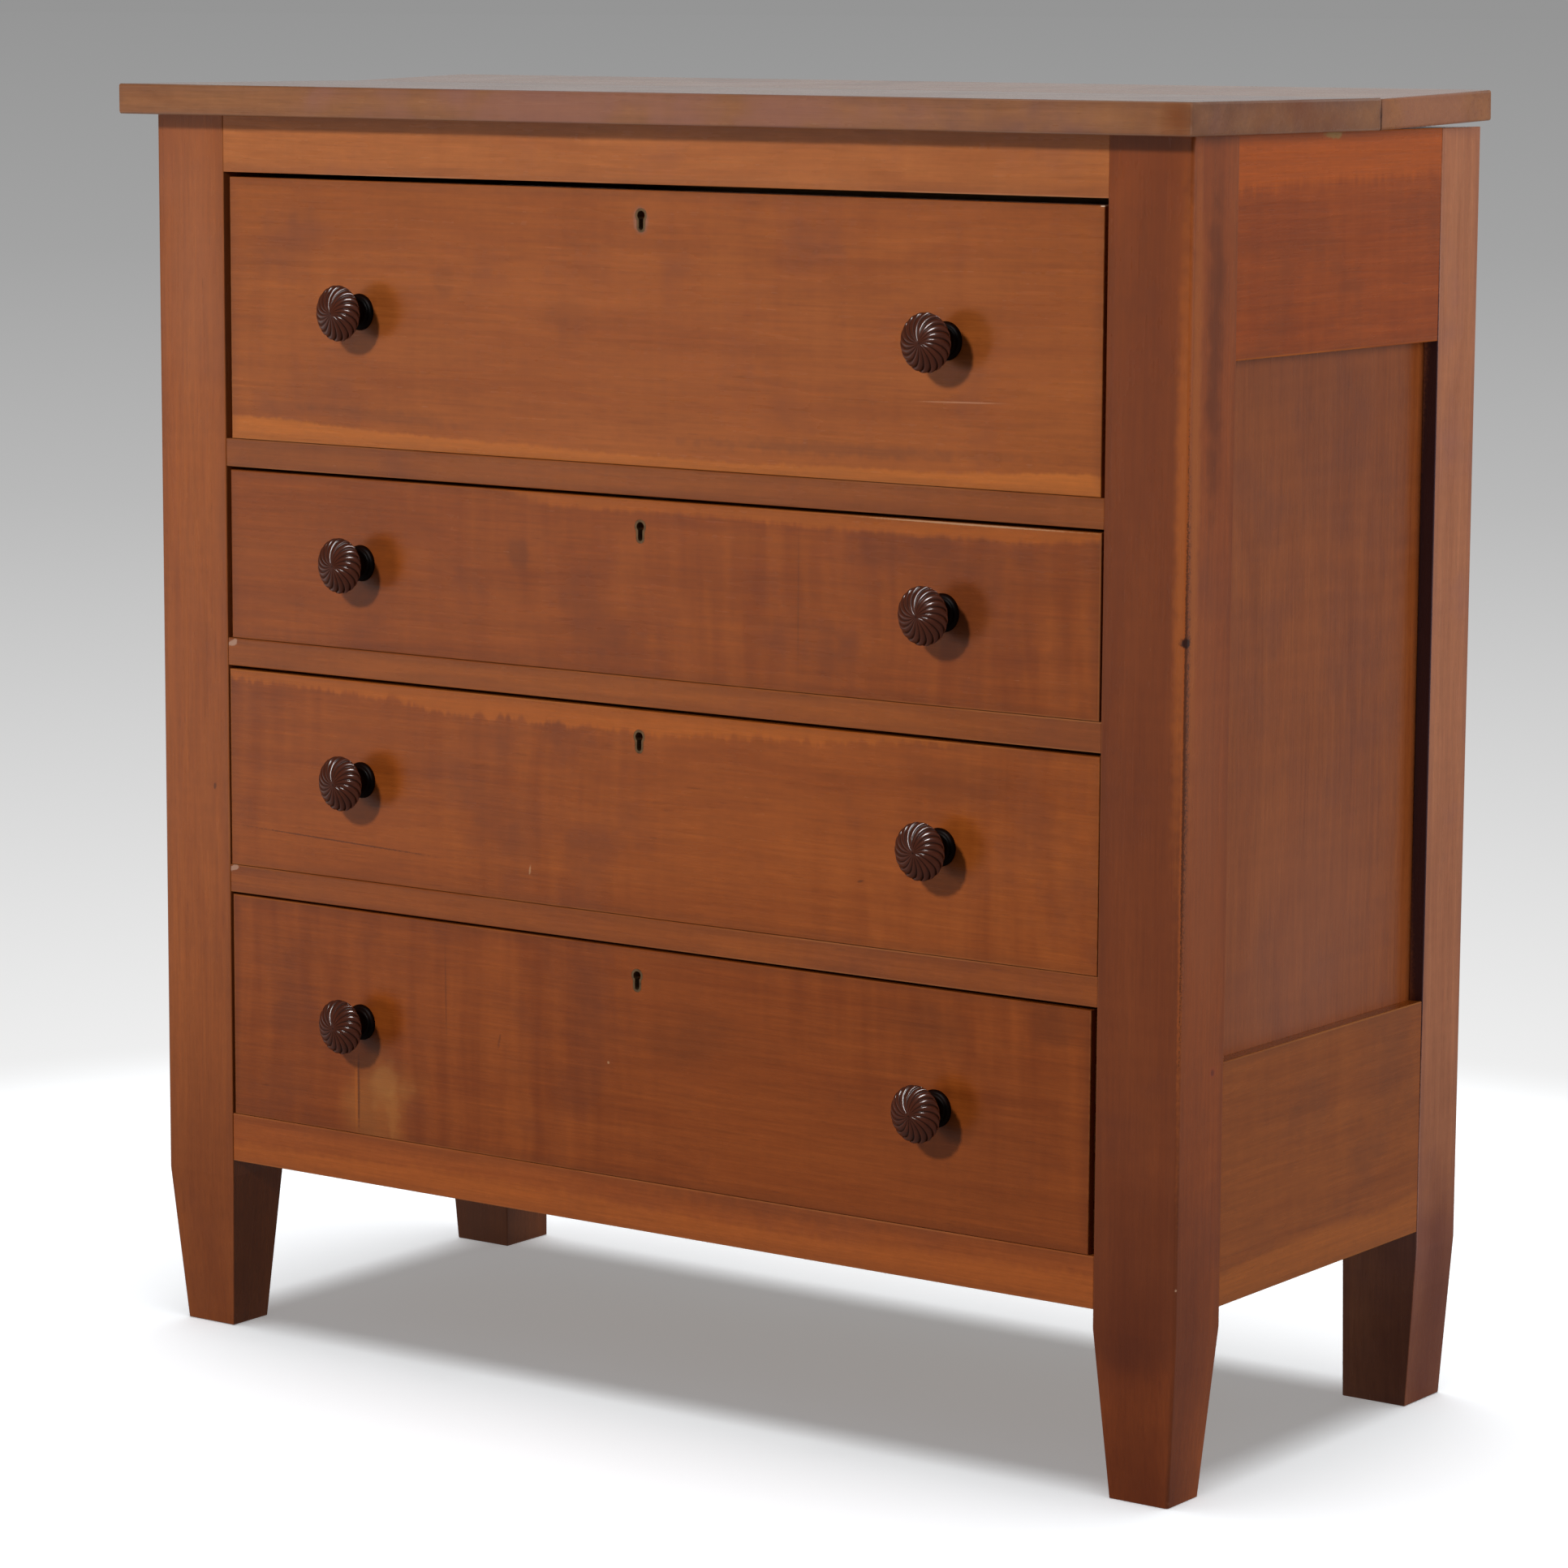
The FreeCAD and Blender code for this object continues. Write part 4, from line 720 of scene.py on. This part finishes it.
@dataclass(frozen=True)
class Metal:
    """An aged metal.

    Attributes:
        bright: where it is rubbed clean.
        dull: where it is tarnished or rusted.
        rough: roughness.
        clean: how much of it is clean, 0 to 1.
    """

    bright: Colour
    dull: Colour
    rough: float
    clean: float

    def dress(self, name: str) -> bpy.types.Material:
        """Makes the metal's material."""
        paint = Paint(name)
        place = paint.place()
        patches = paint.noise(place, 180.0, 3.0, 0.6)
        scratches = paint.noise(place * (300.0, 300.0, 1500.0), 1.0, 1.0)
        tarnish = paint.ease(patches + scratches * 0.3, -0.5 + self.clean, 0.5)
        colour = paint.mix(self.bright, self.dull, tarnish)
        return paint.finish(colour, self.rough + tarnish * 0.2, patches * 0.6 + scratches * 0.4,
                            0.00005, metal=0.9 - tarnish * 0.35)


BRASS = Metal((0.32, 0.19, 0.095), (0.11, 0.062, 0.032), 0.42, 0.2)
BOLT_BRASS = Metal((0.66, 0.47, 0.22), (0.36, 0.24, 0.11), 0.34, 0.4)
IRON = Metal((0.16, 0.15, 0.14), (0.085, 0.045, 0.028), 0.48, 0.2)


@dataclass(frozen=True)
class KnobPolish:
    """The dark, glossy finish of the turned knobs.

    Attributes:
        crest: colour of the polished lobes.
        hollow: dirt in the grooves.
        rough: roughness of the wood under the polish.
        sheen: specular level of that wood.
        gloss: how much polish there is on the lobes.
        gloss_rough: roughness of the polish.
        shade: how much darker the neck and the foot are; this is painted shade of the head's shadow, on a
            foot that is dark itself.
    """

    crest: Colour = (0.057, 0.0118, 0.0040)
    hollow: Colour = (0.007, 0.0025, 0.0015)
    rough: float = 0.45
    sheen: float = 0.05
    gloss: float = 0.50
    gloss_rough: float = 0.14
    shade: float = 0.90

    def dress(self, name: str) -> bpy.types.Material:
        """Makes the knobs' material, which reads the grooves that are stored on their mesh."""
        paint = Paint(name)
        place = paint.place()
        groove = paint.make("ShaderNodeAttribute", {"attribute_name": "groove"}, output="Fac")
        travel = paint.make("ShaderNodeAttribute", {"attribute_name": "travel"}, output="Fac")
        smear = paint.noise(place, 120.0, 2.0)
        turned = paint.noise(place * (90.0, 700.0, 90.0), 1.0, 2.0)
        colour = paint.mix(self.crest, self.hollow, paint.ease(groove, 0.30, 1.0) * 0.9)
        # The neck and the foot: darkened as painted shade, since the head shades them.
        behind = paint.ease(travel, 1.25, 2.0)
        colour = colour * (1.0 + smear * 0.35 + turned * 0.12) * (1.0 - behind * self.shade)
        polish = (1.0 - behind) * (1.0 - paint.ease(groove, 0.4, 1.0) * 0.8) * self.gloss
        return paint.finish(colour, self.rough + smear * 0.05, turned + smear * 0.5, 0.00002,
                            Specular_IOR_Level=self.sheen, Coat_Weight=polish,
                            Coat_Roughness=self.gloss_rough)


# ------------------------------------------------------------------ pieces
def dress(piece: bpy.types.Object, material: bpy.types.Material) -> None:
    """Gives a piece one material in all its slots."""
    if not piece.material_slots:
        piece.data.materials.append(material)
    for place in piece.material_slots:
        place.link = "OBJECT"
        place.material = material


# Corners nearer than this are one, faces within FLAT of each other are one, and edges over SHARP
# are rounded.
SAME_POINT = 0.00001
FLAT = math.radians(0.5)
SHARP = math.radians(50)


def soften(piece: bpy.types.Object, width: float) -> None:
    """Rounds a board's sharp arrises, as planing and use do.

    Args:
        piece: the CAD node.
        width: the round's width.
    """
    weld = piece.modifiers.new("weld", "WELD")
    weld.merge_threshold = SAME_POINT
    flat = piece.modifiers.new("flat", "DECIMATE")
    flat.decimate_type = "DISSOLVE"
    flat.angle_limit = FLAT
    bevel = piece.modifiers.new("arris", "BEVEL")
    bevel.width = width
    bevel.segments = 2
    bevel.limit_method = "ANGLE"
    bevel.angle_limit = SHARP
    bevel.use_clamp_overlap = True


@dataclass
class Case:
    """The case: posts, rails, panels, top, back and what is inside.

    Attributes:
        arris: round of the show boards' arrises.
    """

    arris: float = 0.0007

    def build(self, nodes: dict[str, bpy.types.Object]) -> None:
        """Dresses every CAD node of the case."""
        for name, board in CASE_LOOKS.items():
            dress(nodes[name], CHERRY.dress("cherry_" + name, board, *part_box(name)))
            soften(nodes[name], self.arris)
            LOG.info("%s: cherry, seed %.1f", name, board.seed)
        for name, board in INSIDE_LOOKS.items():
            dress(nodes[name], POPLAR.dress("poplar_" + name, board, *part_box(name)))
            LOG.info("%s: poplar", name)
        dress(nodes["top_screws"], IRON.dress("iron_screws"))


# A box round the whole chest: a board dressed with it has no dirt or wear along its arrises.
NO_ARRIS = (Vector((-1.0, -1.0, -1.0)), Vector((1.0, 1.0, 1.0)))


@dataclass
class Drawers:
    """The drawers with their locks and keyhole liners.

    Attributes:
        sides: the side boards' look.
        backs: the look of the backs and bottoms.
    """

    sides: Board = Board(Grain.DEPTH, 40.0)
    backs: Board = Board(Grain.WIDTH, 41.0)

    def build(self, nodes: dict[str, bpy.types.Object]) -> None:
        """Dresses the CAD nodes of all drawers."""
        brass, bolt, iron = BRASS.dress("brass"), BOLT_BRASS.dress("bolt_brass"), IRON.dress("iron_locks")
        along = POPLAR.dress("poplar_drawer_sides", self.sides, *NO_ARRIS)
        across = POPLAR.dress("poplar_drawer_backs", self.backs, *NO_ARRIS)
        for number, board in DRAWER_LOOKS.items():
            stem = f"drawer_{number}_"
            front = stem + "front"
            dress(nodes[front], CHERRY.dress("cherry_" + front, board, *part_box(front)))
            for part, material in (("left_side", along), ("right_side", along), ("back", across),
                                   ("bottom", across), ("escutcheon", brass), ("lock", iron),
                                   ("lock_bolt", bolt)):
                dress(nodes[stem + part], material)
            LOG.info("drawer %d dressed", number)


@dataclass
class FlutedKnobs:
    """The two knobs of each drawer: turned, with eighteen lobes that swirl out from the tip.

    Attributes:
        offset: each knob's axis from the middle of the pair.
        face: the drawer fronts' plane.
        projection: how far the tip stands out.
        dome: from the head's widest ring to the tip.
        head: radius of the head.
        point, shoulder: powers of the dome's curve, which is blunt at the tip at 2 and 0.5.
        flange: radius of the foot's round flange.
        edge: how far its rear face ends inside its radius.
        lip: the flange's thickness and the radius of its round.
        neck: radius of the neck.
        waist: the neck's thinnest place, as a share of the way from the face to the widest ring.
        foot_pull, head_pull: how the curves leave the flange and the head, as (radius, way along Y).
        neck_pull: how far they run straight from the waist, back and forward along Y.
        tenon: radius of the tenon.
        tenon_length: its length.
        flutes: number of lobes.
        depth: depth of the grooves between them.
        sharp: power that narrows the grooves.
        start: the travel where the grooves begin by the tip, and where they have their full depth.
        finish: the travel behind the head where they have run out, and where they are still full.
        swirl: how far a lobe turns between tip and widest ring, in radians.
        winding: power of that turn over the travel.
        round_steps: corners around.
        ring_counts: rings of the lip, the foot's curve, the head's curve and the dome.
    """

    offset: float = 0.277
    face: float = -0.19075
    projection: float = 0.0352
    dome: float = 0.0090
    head: float = 0.0220
    point: float = 2.0
    shoulder: float = 0.85
    flange: float = 0.0144
    edge: float = 0.0003
    lip: float = 0.0032
    neck: float = 0.0112
    waist: float = 0.55
    foot_pull: tuple[float, float] = (-0.0034, -0.0006)
    neck_pull: tuple[float, float] = (0.0044, -0.0050)
    head_pull: tuple[float, float] = (-0.0002, 0.0030)
    tenon: float = 0.008
    tenon_length: float = 0.0219
    flutes: int = 18
    depth: float = 0.0016
    sharp: float = 3.0
    start: tuple[float, float] = (0.02, 0.10)
    finish: tuple[float, float] = (1.72, 1.40)
    swirl: float = math.radians(40)
    winding: float = 1.25
    round_steps: int = 18 * 10
    ring_counts: tuple[int, int, int, int] = (7, 8, 14, 26)

    def profile(self) -> list[tuple[float, float, float]]:
        """The turner's profile from the tenon's end to the tip.

        Returns:
            (radius, way along Y from the face, travel) of each ring. Travel is 0 at the tip, 1 at the
            widest ring, 2 at the waist and up to 3 behind it.
        """
        lip_rings, foot_rings, head_rings, dome_rings = self.ring_counts
        quarter = math.radians(90.0)
        rings = [(self.tenon, self.tenon_length, 3.0), (self.tenon, 0.0, 3.0),
                 (self.flange - self.edge, 0.0, 3.0)]
        for step in range(lip_rings + 1):
            turn = quarter * step / lip_rings
            rings.append((self.flange - self.lip * (1 - math.cos(turn)), -self.lip * math.sin(turn), 3.0))
        widest = self.dome - self.projection
        foot = Vector((self.flange - self.lip, -self.lip))
        waist = Vector((self.neck, widest * self.waist))
        head = Vector((self.head, widest))
        to_foot, to_head = (Vector((0, pull)) for pull in self.neck_pull)
        lower = interpolate_bezier(foot, foot + Vector(self.foot_pull),
                                   waist + to_foot, waist, foot_rings + 1)
        upper = interpolate_bezier(waist, waist + to_head,
                                   head + Vector(self.head_pull), head, head_rings + 1)
        rings += [(p.x, p.y, 3.0 - 0.7 * k / foot_rings) for k, p in enumerate(lower[1:], 1)]
        rings += [(p.x, p.y, 2.0 - k / head_rings) for k, p in enumerate(upper[1:], 1)]
        for step in range(1, dome_rings):
            share = math.cos(quarter * step / dome_rings)
            rise = self.dome * (1 - share ** self.point) ** self.shoulder
            rings.append((self.head * share, widest - rise, 1 - step / dome_rings))
        return rings

    def blank(self) -> bpy.types.Mesh:
        """The turned blank on the Y axis, closed at both ends, with its travel stored."""
        rings = self.profile()
        points, travel = [], []
        for radius, y, way in rings:
            for step in range(self.round_steps):
                turn = math.tau * step / self.round_steps
                points.append((radius * math.cos(turn), y, radius * math.sin(turn)))
                travel.append(way)
        count = self.round_steps
        faces = [(r * count + k, r * count + (k + 1) % count,
                  (r + 1) * count + (k + 1) % count, (r + 1) * count + k)
                 for r in range(len(rings) - 1) for k in range(count)]
        back, tip = len(points), len(points) + 1
        points += [(0, self.tenon_length, 0), (0, -self.projection, 0)]
        travel += [3.0, 0.0]
        last = (len(rings) - 1) * count
        faces += [(back, (k + 1) % count, k) for k in range(count)]
        faces += [(tip, last + k, last + (k + 1) % count) for k in range(count)]
        mesh = bpy.data.meshes.new("knob_blank")
        mesh.from_pydata(points, [], faces)
        mesh.attributes.new("travel", "FLOAT", "POINT").data.foreach_set("value", travel)
        work = bmesh.new()
        work.from_mesh(mesh)
        bmesh.ops.recalc_face_normals(work, faces=work.faces)
        work.to_mesh(mesh)
        work.free()
        return mesh

    def tree(self, material: bpy.types.Material) -> Growth:
        """The rule that flutes a blank and sets a pair of knobs.

        Args:
            material: the knobs' polish.

        Returns:
            The tree, with the inputs Flutes, Depth, Swirl, Offset, Centre and Seed.
        """
        grow = Growth("fluted_knobs")
        flutes, depth, swirl = grow.size("Flutes"), grow.size("Depth"), grow.size("Swirl")
        offset, centre = grow.size("Offset"), grow.size("Centre", "NodeSocketVector")
        seed = grow.size("Seed", "NodeSocketInt")
        travel = grow.make("GeometryNodeInputNamedAttribute", {"data_type": "FLOAT"}, {"Name": "travel"})
        place = grow.make("GeometryNodeInputPosition")
        x, _, z = grow.split(place)
        across = grow.sum_of("FRACT", grow.sum_of("ARCTAN2", z, x) * flutes / math.tau) * 2.0 - 1.0
        wide = grow.length(place * (1.0, 0.0, 1.0))
        fluted = grow.ease(travel, *self.finish)
        reach = grow.ease(travel, *self.start) * fluted * wide / self.head
        hollow = grow.sum_of("ABSOLUTE", across) ** self.sharp
        normal = grow.make("GeometryNodeInputNormal")
        kept = grow.make("GeometryNodeStoreNamedAttribute", {"data_type": "FLOAT", "domain": "POINT"},
                         {"Geometry": grow.geometry, "Name": "groove", "Value": hollow * fluted})
        carved = place + normal * (hollow * reach * depth * -1.0)
        swirled = grow.make("ShaderNodeVectorRotate", {"rotation_type": "Y_AXIS"}, {
            "Vector": carved, "Angle": swirl * travel ** self.winding})
        cut = grow.make("GeometryNodeSetPosition", inputs={"Geometry": kept, "Position": swirled})
        aside = grow.make("ShaderNodeCombineXYZ", inputs={0: offset})
        pair = grow.make("GeometryNodeMeshLine", {"mode": "END_POINTS", "count_mode": "TOTAL"},
                         {"Count": 2, "Start Location": centre - aside, "Offset": centre + aside})
        turned = grow.make("ShaderNodeCombineXYZ", inputs={1: grow.turn(seed)})
        knobs = grow.make("GeometryNodeInstanceOnPoints",
                          inputs={"Points": pair, "Instance": cut, "Rotation": turned})
        grow.close(knobs, material, True)
        return grow

    def build(self) -> list[bpy.types.Object]:
        """Makes one mesh of two knobs for each drawer, in place of the plain CAD knobs."""
        tree = self.tree(KnobPolish().dress("knob_polish"))
        blank = self.blank()
        pairs = []
        for number in DRAWER_LOOKS:
            node = f"drawer_{number}_knobs"
            low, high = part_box(node)
            centre = (low + high) / 2
            sizes = {"Flutes": float(self.flutes), "Depth": self.depth, "Swirl": self.swirl,
                     "Offset": self.offset, "Centre": (centre.x, self.face, centre.z), "Seed": number}
            knobs = tree.grow(f"fluted_knobs_{number}", blank, sizes)
            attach(knobs, f"drawer_{number}")
            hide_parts(node)
            LOG.info("fluted_knobs_%d: %d faces", number, len(knobs.data.polygons))
            pairs.append(knobs)
        return pairs


@dataclass
class BackNails:
    """The cut nails that hold the back boards to the rear rails and posts.

    Attributes:
        head: radius of a nail's head.
        corners: its corners, as it is struck by hand.
        crown: radius of its outer end, as a share of the head's.
        thick: the head's thickness, as a share of its radius.
        proud: how far the head stands out of the boards.
        columns: nails along each rail.
        rows: nails down each post.
        spread: how much of the width the rails' nails take up.
        margin: what the nails leave free of the boards' width and of the rails' height.
        inset: how much shorter the posts' rows are.
        drift: how far a nail strays from its place.
        seed: scatter of their places.
    """

    head: float = 0.0034
    corners: int = 7
    crown: float = 0.45
    thick: float = 0.28
    proud: float = 0.00002
    columns: int = 8
    rows: int = 5
    spread: float = 0.88
    margin: tuple[float, float] = (0.014, 0.06)
    inset: float = 0.12
    drift: Triple = (0.006, 0.0, 0.009)
    seed: int = 11

    def tree(self, material: bpy.types.Material) -> Growth:
        """The rule that drives the nails.

        Args:
            material: the nails' iron.

        Returns:
            The tree, with the inputs Width, Height, Centre, Columns, Rows, Head, Inset and Seed.
        """
        grow = Growth("back_nails")
        width, height, inset = grow.size("Width"), grow.size("Height"), grow.size("Inset")
        centre, head = grow.size("Centre", "NodeSocketVector"), grow.size("Head")
        columns, rows = grow.size("Columns", "NodeSocketInt"), grow.size("Rows", "NodeSocketInt")
        seed = grow.size("Seed", "NodeSocketInt")
        grids = [grow.make("GeometryNodeMeshGrid", inputs={
            "Size X": width * share, "Size Y": height - lower, "Vertices X": across, "Vertices Y": up})
                 for share, lower, across, up in ((self.spread, 0.0, columns, 2), (1.0, inset, 2, rows))]
        places = grow.make("GeometryNodeJoinGeometry")
        for grid in grids:
            grow.nodes.links.new(grid.socket, places.socket.node.inputs[0])
        stood = grow.make("GeometryNodeTransform", inputs={"Geometry": places, "Translation": centre,
                                                          "Rotation": (math.radians(90), 0.0, 0.0)})
        drift = grow.make("FunctionNodeRandomValue", {"data_type": "FLOAT_VECTOR"},
                          {"Min": tuple(-way for way in self.drift), "Max": self.drift, "Seed": seed})
        spread = grow.make("GeometryNodeSetPosition", inputs={"Geometry": stood, "Offset": drift})
        nail = grow.make("GeometryNodeMeshCone", {"fill_type": "TRIANGLE_FAN"},
                         {"Vertices": self.corners, "Radius Top": head * self.crown, "Radius Bottom": head,
                          "Depth": head * self.thick})
        aim = grow.make("ShaderNodeCombineXYZ", inputs={0: math.radians(-90), 1: grow.turn(seed + 1)})
        nails = grow.make("GeometryNodeInstanceOnPoints",
                          inputs={"Points": spread, "Instance": nail, "Rotation": aim})
        grow.close(nails, material, False)
        return grow

    def build(self) -> None:
        """Makes the nails as one piece on the case."""
        low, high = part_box("back_boards")
        rail_low, rail_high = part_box("rear_bottom_rail")[0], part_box("rear_top_rail")[1]
        centre = (low + high) / 2
        sizes = {"Width": high.x - low.x - self.margin[0],
                 "Height": rail_high.z - rail_low.z - self.margin[1],
                 "Centre": (centre.x, high.y + self.proud - self.head * self.thick, centre.z),
                 "Columns": self.columns, "Rows": self.rows, "Head": self.head, "Inset": self.inset,
                 "Seed": self.seed}
        nails = self.tree(IRON.dress("iron_nails")).grow("back_nails", bpy.data.meshes.new("none"), sizes)
        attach(nails, "case")
        LOG.info("back_nails: %d faces", len(nails.data.polygons))


# ------------------------------------------------------------------ studio
class Outline(Enum):
    """The outline of a lamp."""

    SQUARE = "SQUARE"
    ROUND = "DISK"


@dataclass(frozen=True)
class Lamp:
    """One flat lamp.

    Attributes:
        place: where it hangs.
        size: its side or diameter.
        power: its power, in watts.
        outline: its outline.
        mirrored: whether polish shows it.
        lights: whether it lights matt surfaces.
    """

    place: Triple
    size: float
    power: float
    outline: Outline = Outline.SQUARE
    mirrored: bool = True
    lights: bool = True

    def hang(self, name: str, aim: Triple, pieces: Sequence[bpy.types.Object], alone: bool) -> None:
        """Hangs the lamp.

        Args:
            name: its name.
            aim: what it points at.
            pieces: the pieces that it is linked with.
            alone: whether it lights these pieces alone, or all but them.
        """
        data = bpy.data.lights.new(name, "AREA")
        data.shape, data.size, data.energy = self.outline.value, self.size, self.power
        lamp = add_object(name, data)
        lamp.location = self.place
        lamp.rotation_mode = "QUATERNION"
        lamp.rotation_quaternion = (Vector(aim) - Vector(self.place)).to_track_quat("-Z", "Y")
        lamp.visible_glossy, lamp.visible_diffuse = self.mirrored, self.lights
        linked = bpy.data.collections.new(name + "_link")
        for piece in pieces:
            linked.objects.link(piece)
        for link in linked.collection_objects:
            link.light_linking.link_state = "INCLUDE" if alone else "EXCLUDE"
        lamp.light_linking.receiver_collection = linked


@dataclass
class Studio:
    """The camera, the lamps, the world and a pale floor that fades to grey far away.

    Attributes:
        eye: the camera's place.
        ahead: where it looks.
        roll: its turn about that line, in degrees.
        lens, sensor: focal length and the sensor's width, in millimetres.
        far: how far the camera sees.
        key: the lamp in front.
        low: the lamp low at the left, whose shade falls to the right of the knobs.
        fill: the large soft lamp at the right.
        top: the lamp overhead, which gives the floor its one plain shadow.
        glint: the lamp that only the knobs' polish shows.
        aim: what the lamps point at.
        ambient: strength of the world.
        sheen: how much brighter polish shows it behind the chest.
        sheen_rise: how far back a mirrored direction points where this begins, and where it is full.
        bounce: how much of the light that meets the floor comes back to the chest.
        under: the least light that comes back from the floor.
        horizon: grey of the backdrop far away.
        shade_floor: the least light that the floor shows to the camera.
        floor_radius: radius of the floor's disc.
        floor_drop: how far it lies under the feet.
        floor_tint: the floor's faint tint in the light.
        floor_rim: the radii between which the lit floor passes into the backdrop.
        fade_reach: how far from the chest the backdrop's fade stands at 0.5.
        fade: the backdrop's grey as (place, grey) pairs, from far away at 0 to the chest at 1.
    """

    eye: Triple = (2.41037, -3.36568, 1.08150)
    ahead: Triple = (-0.57597, 0.80426, -0.14637)
    roll: float = 0.3
    lens: float = 121.03
    sensor: float = 36.0
    far: float = 2000.0
    key: Lamp = Lamp((0.0, -3.80, 2.50), 0.37, 113.0, mirrored=False)
    low: Lamp = Lamp((-2.95, -4.5, 0.55), 1.2, 68.0, mirrored=False)
    fill: Lamp = Lamp((3.0, 0.7, 1.4), 2.0, 54.0, mirrored=False)
    top: Lamp = Lamp((0.0, 0.0, 10.0), 8.25, 1150.0, Outline.ROUND)
    glint: Lamp = Lamp((0.25, -2.40, 2.05), 0.62, 70.0, lights=False)
    aim: Triple = (0.0, -0.15, 0.52)
    ambient: float = 0.13
    sheen: float = 0.52
    sheen_rise: tuple[float, float] = (0.2, 0.85)
    bounce: float = 0.12
    under: float = 0.13
    horizon: float = 0.30
    shade_floor: float = 0.247
    floor_radius: float = 500.0
    floor_drop: float = 0.0003
    floor_tint: Colour = (0.97, 1.0, 1.03)
    floor_rim: tuple[float, float] = (1.0, 1.45)
    fade_reach: float = 4.2
    fade: tuple[tuple[float, float], ...] = (
        (0.0, 0.30), (0.176, 0.366), (0.356, 0.485), (0.535, 0.659), (0.715, 0.83), (0.834, 0.947),
        (0.90, 1.0))

    def camera(self) -> None:
        """Sets the camera up."""
        ahead = Vector(self.ahead).normalized()
        right = ahead.cross(Vector((0, 0, 1))).normalized()
        up = right.cross(ahead)
        turn = math.radians(self.roll)
        across = right * math.cos(turn) + up * math.sin(turn)
        above = up * math.cos(turn) - right * math.sin(turn)
        data = bpy.data.cameras.new("camera")
        data.lens, data.sensor_width, data.clip_end = self.lens, self.sensor, self.far
        camera = add_object("camera", data)
        turned = Matrix((across, above, -ahead)).transposed().to_4x4()
        camera.matrix_world = Matrix.Translation(self.eye) @ turned
        bpy.context.scene.camera = camera

    def world(self) -> None:
        """A white world that is brighter behind the chest for polish, and the far backdrop for the
        camera."""
        world = bpy.data.worlds.new("studio")
        world.use_nodes = True
        tree = Tree(world.node_tree)
        tree.nodes.nodes.clear()
        backward = tree.split(tree.place())[1]
        strength = tree.ray("Glossy") * tree.ease(backward, *self.sheen_rise) * self.sheen + self.ambient
        light = tree.make("ShaderNodeBackground", inputs={"Color": WHITE, "Strength": strength})
        backdrop = tree.make("ShaderNodeBackground", inputs={"Color": WHITE, "Strength": self.horizon})
        both = tree.make("ShaderNodeMixShader", inputs={0: tree.ray("Camera"), 1: light, 2: backdrop})
        tree.make("ShaderNodeOutputWorld", inputs={"Surface": both})
        bpy.context.scene.world = world

    def floor(self) -> bpy.types.Object:
        """A wide disc that shows the shade near the chest and fades to the horizon's grey."""
        data = bpy.data.meshes.new("floor")
        work = bmesh.new()
        bmesh.ops.create_circle(work, cap_ends=True, segments=96, radius=self.floor_radius)
        work.to_mesh(data)
        work.free()
        floor = add_object("floor", data)
        floor.location = (0.0, 0.0, -self.floor_drop)
        paint = Paint("pale_floor")
        seen = paint.ray("Camera")
        mirrored = paint.sum_of("MINIMUM", paint.ray("Glossy") + paint.ray("Transmission"), 1.0)
        place = paint.place()
        radius = paint.length(place)

        light = (seen * (1.0 - self.bounce) + self.bounce) * self.floor_tint
        least = seen * (self.shade_floor - self.under) + self.under
        near = paint.make("ShaderNodeBsdfDiffuse", inputs={"Color": light})
        lift = paint.make("ShaderNodeEmission", inputs={"Color": WHITE, "Strength": least})
        shaded = paint.make("ShaderNodeAddShader", inputs={0: near, 1: lift})

        depth = self.fade_reach / (radius + self.fade_reach)
        grey = paint.make("ShaderNodeValToRGB", {"stops": self.fade}, {0: depth})
        grey.socket.node.color_ramp.interpolation = "LINEAR"
        leftward = paint.ease(paint.split(place)[0] / radius, -0.45, -0.80)
        reflected = 0.25 + paint.ease(radius, 0.5, 6.0) * (0.35 + leftward * 1.6)
        strength = seen + mirrored * reflected
        far = paint.make("ShaderNodeEmission", inputs={"Color": grey, "Strength": strength})
        share = paint.sum_of("MAXIMUM", paint.ease(radius, *self.floor_rim) * seen,
                             mirrored * paint.ease(radius, 0.5, 0.9))
        both = paint.make("ShaderNodeMixShader", inputs={0: share, 1: shaded, 2: far})
        paint.make("ShaderNodeOutputMaterial", inputs={"Surface": both})
        data.materials.append(paint.material)
        return floor

    def build(self, knobs: Sequence[bpy.types.Object], hidden: bpy.types.Object) -> None:
        """Sets the whole studio up.

        Args:
            knobs: the pieces that the glint lamp lights.
            hidden: the piece that the low lamp doesn't reach.
        """
        self.camera()
        floor = self.floor()
        self.key.hang("key", self.aim, [floor], False)
        self.low.hang("low", self.aim, [floor, hidden], False)
        self.fill.hang("fill", self.aim, [floor], False)
        self.top.hang("top", self.aim, [floor], True)
        self.glint.hang("glint", self.aim, knobs, True)
        self.world()
        bpy.context.scene.view_settings.view_transform = "Standard"
        LOG.info("studio set up")


def main() -> None:
    """Builds everything in order."""
    logging.basicConfig(level=logging.INFO, format="%(name)s: %(message)s")
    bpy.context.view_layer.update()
    nodes = frame["nodes"]
    Case().build(nodes)
    Drawers().build(nodes)
    knobs = FlutedKnobs().build()
    BackNails().build()
    Studio().build(knobs, nodes["right_rear_post"])


if __name__ == "__main__":
    main()
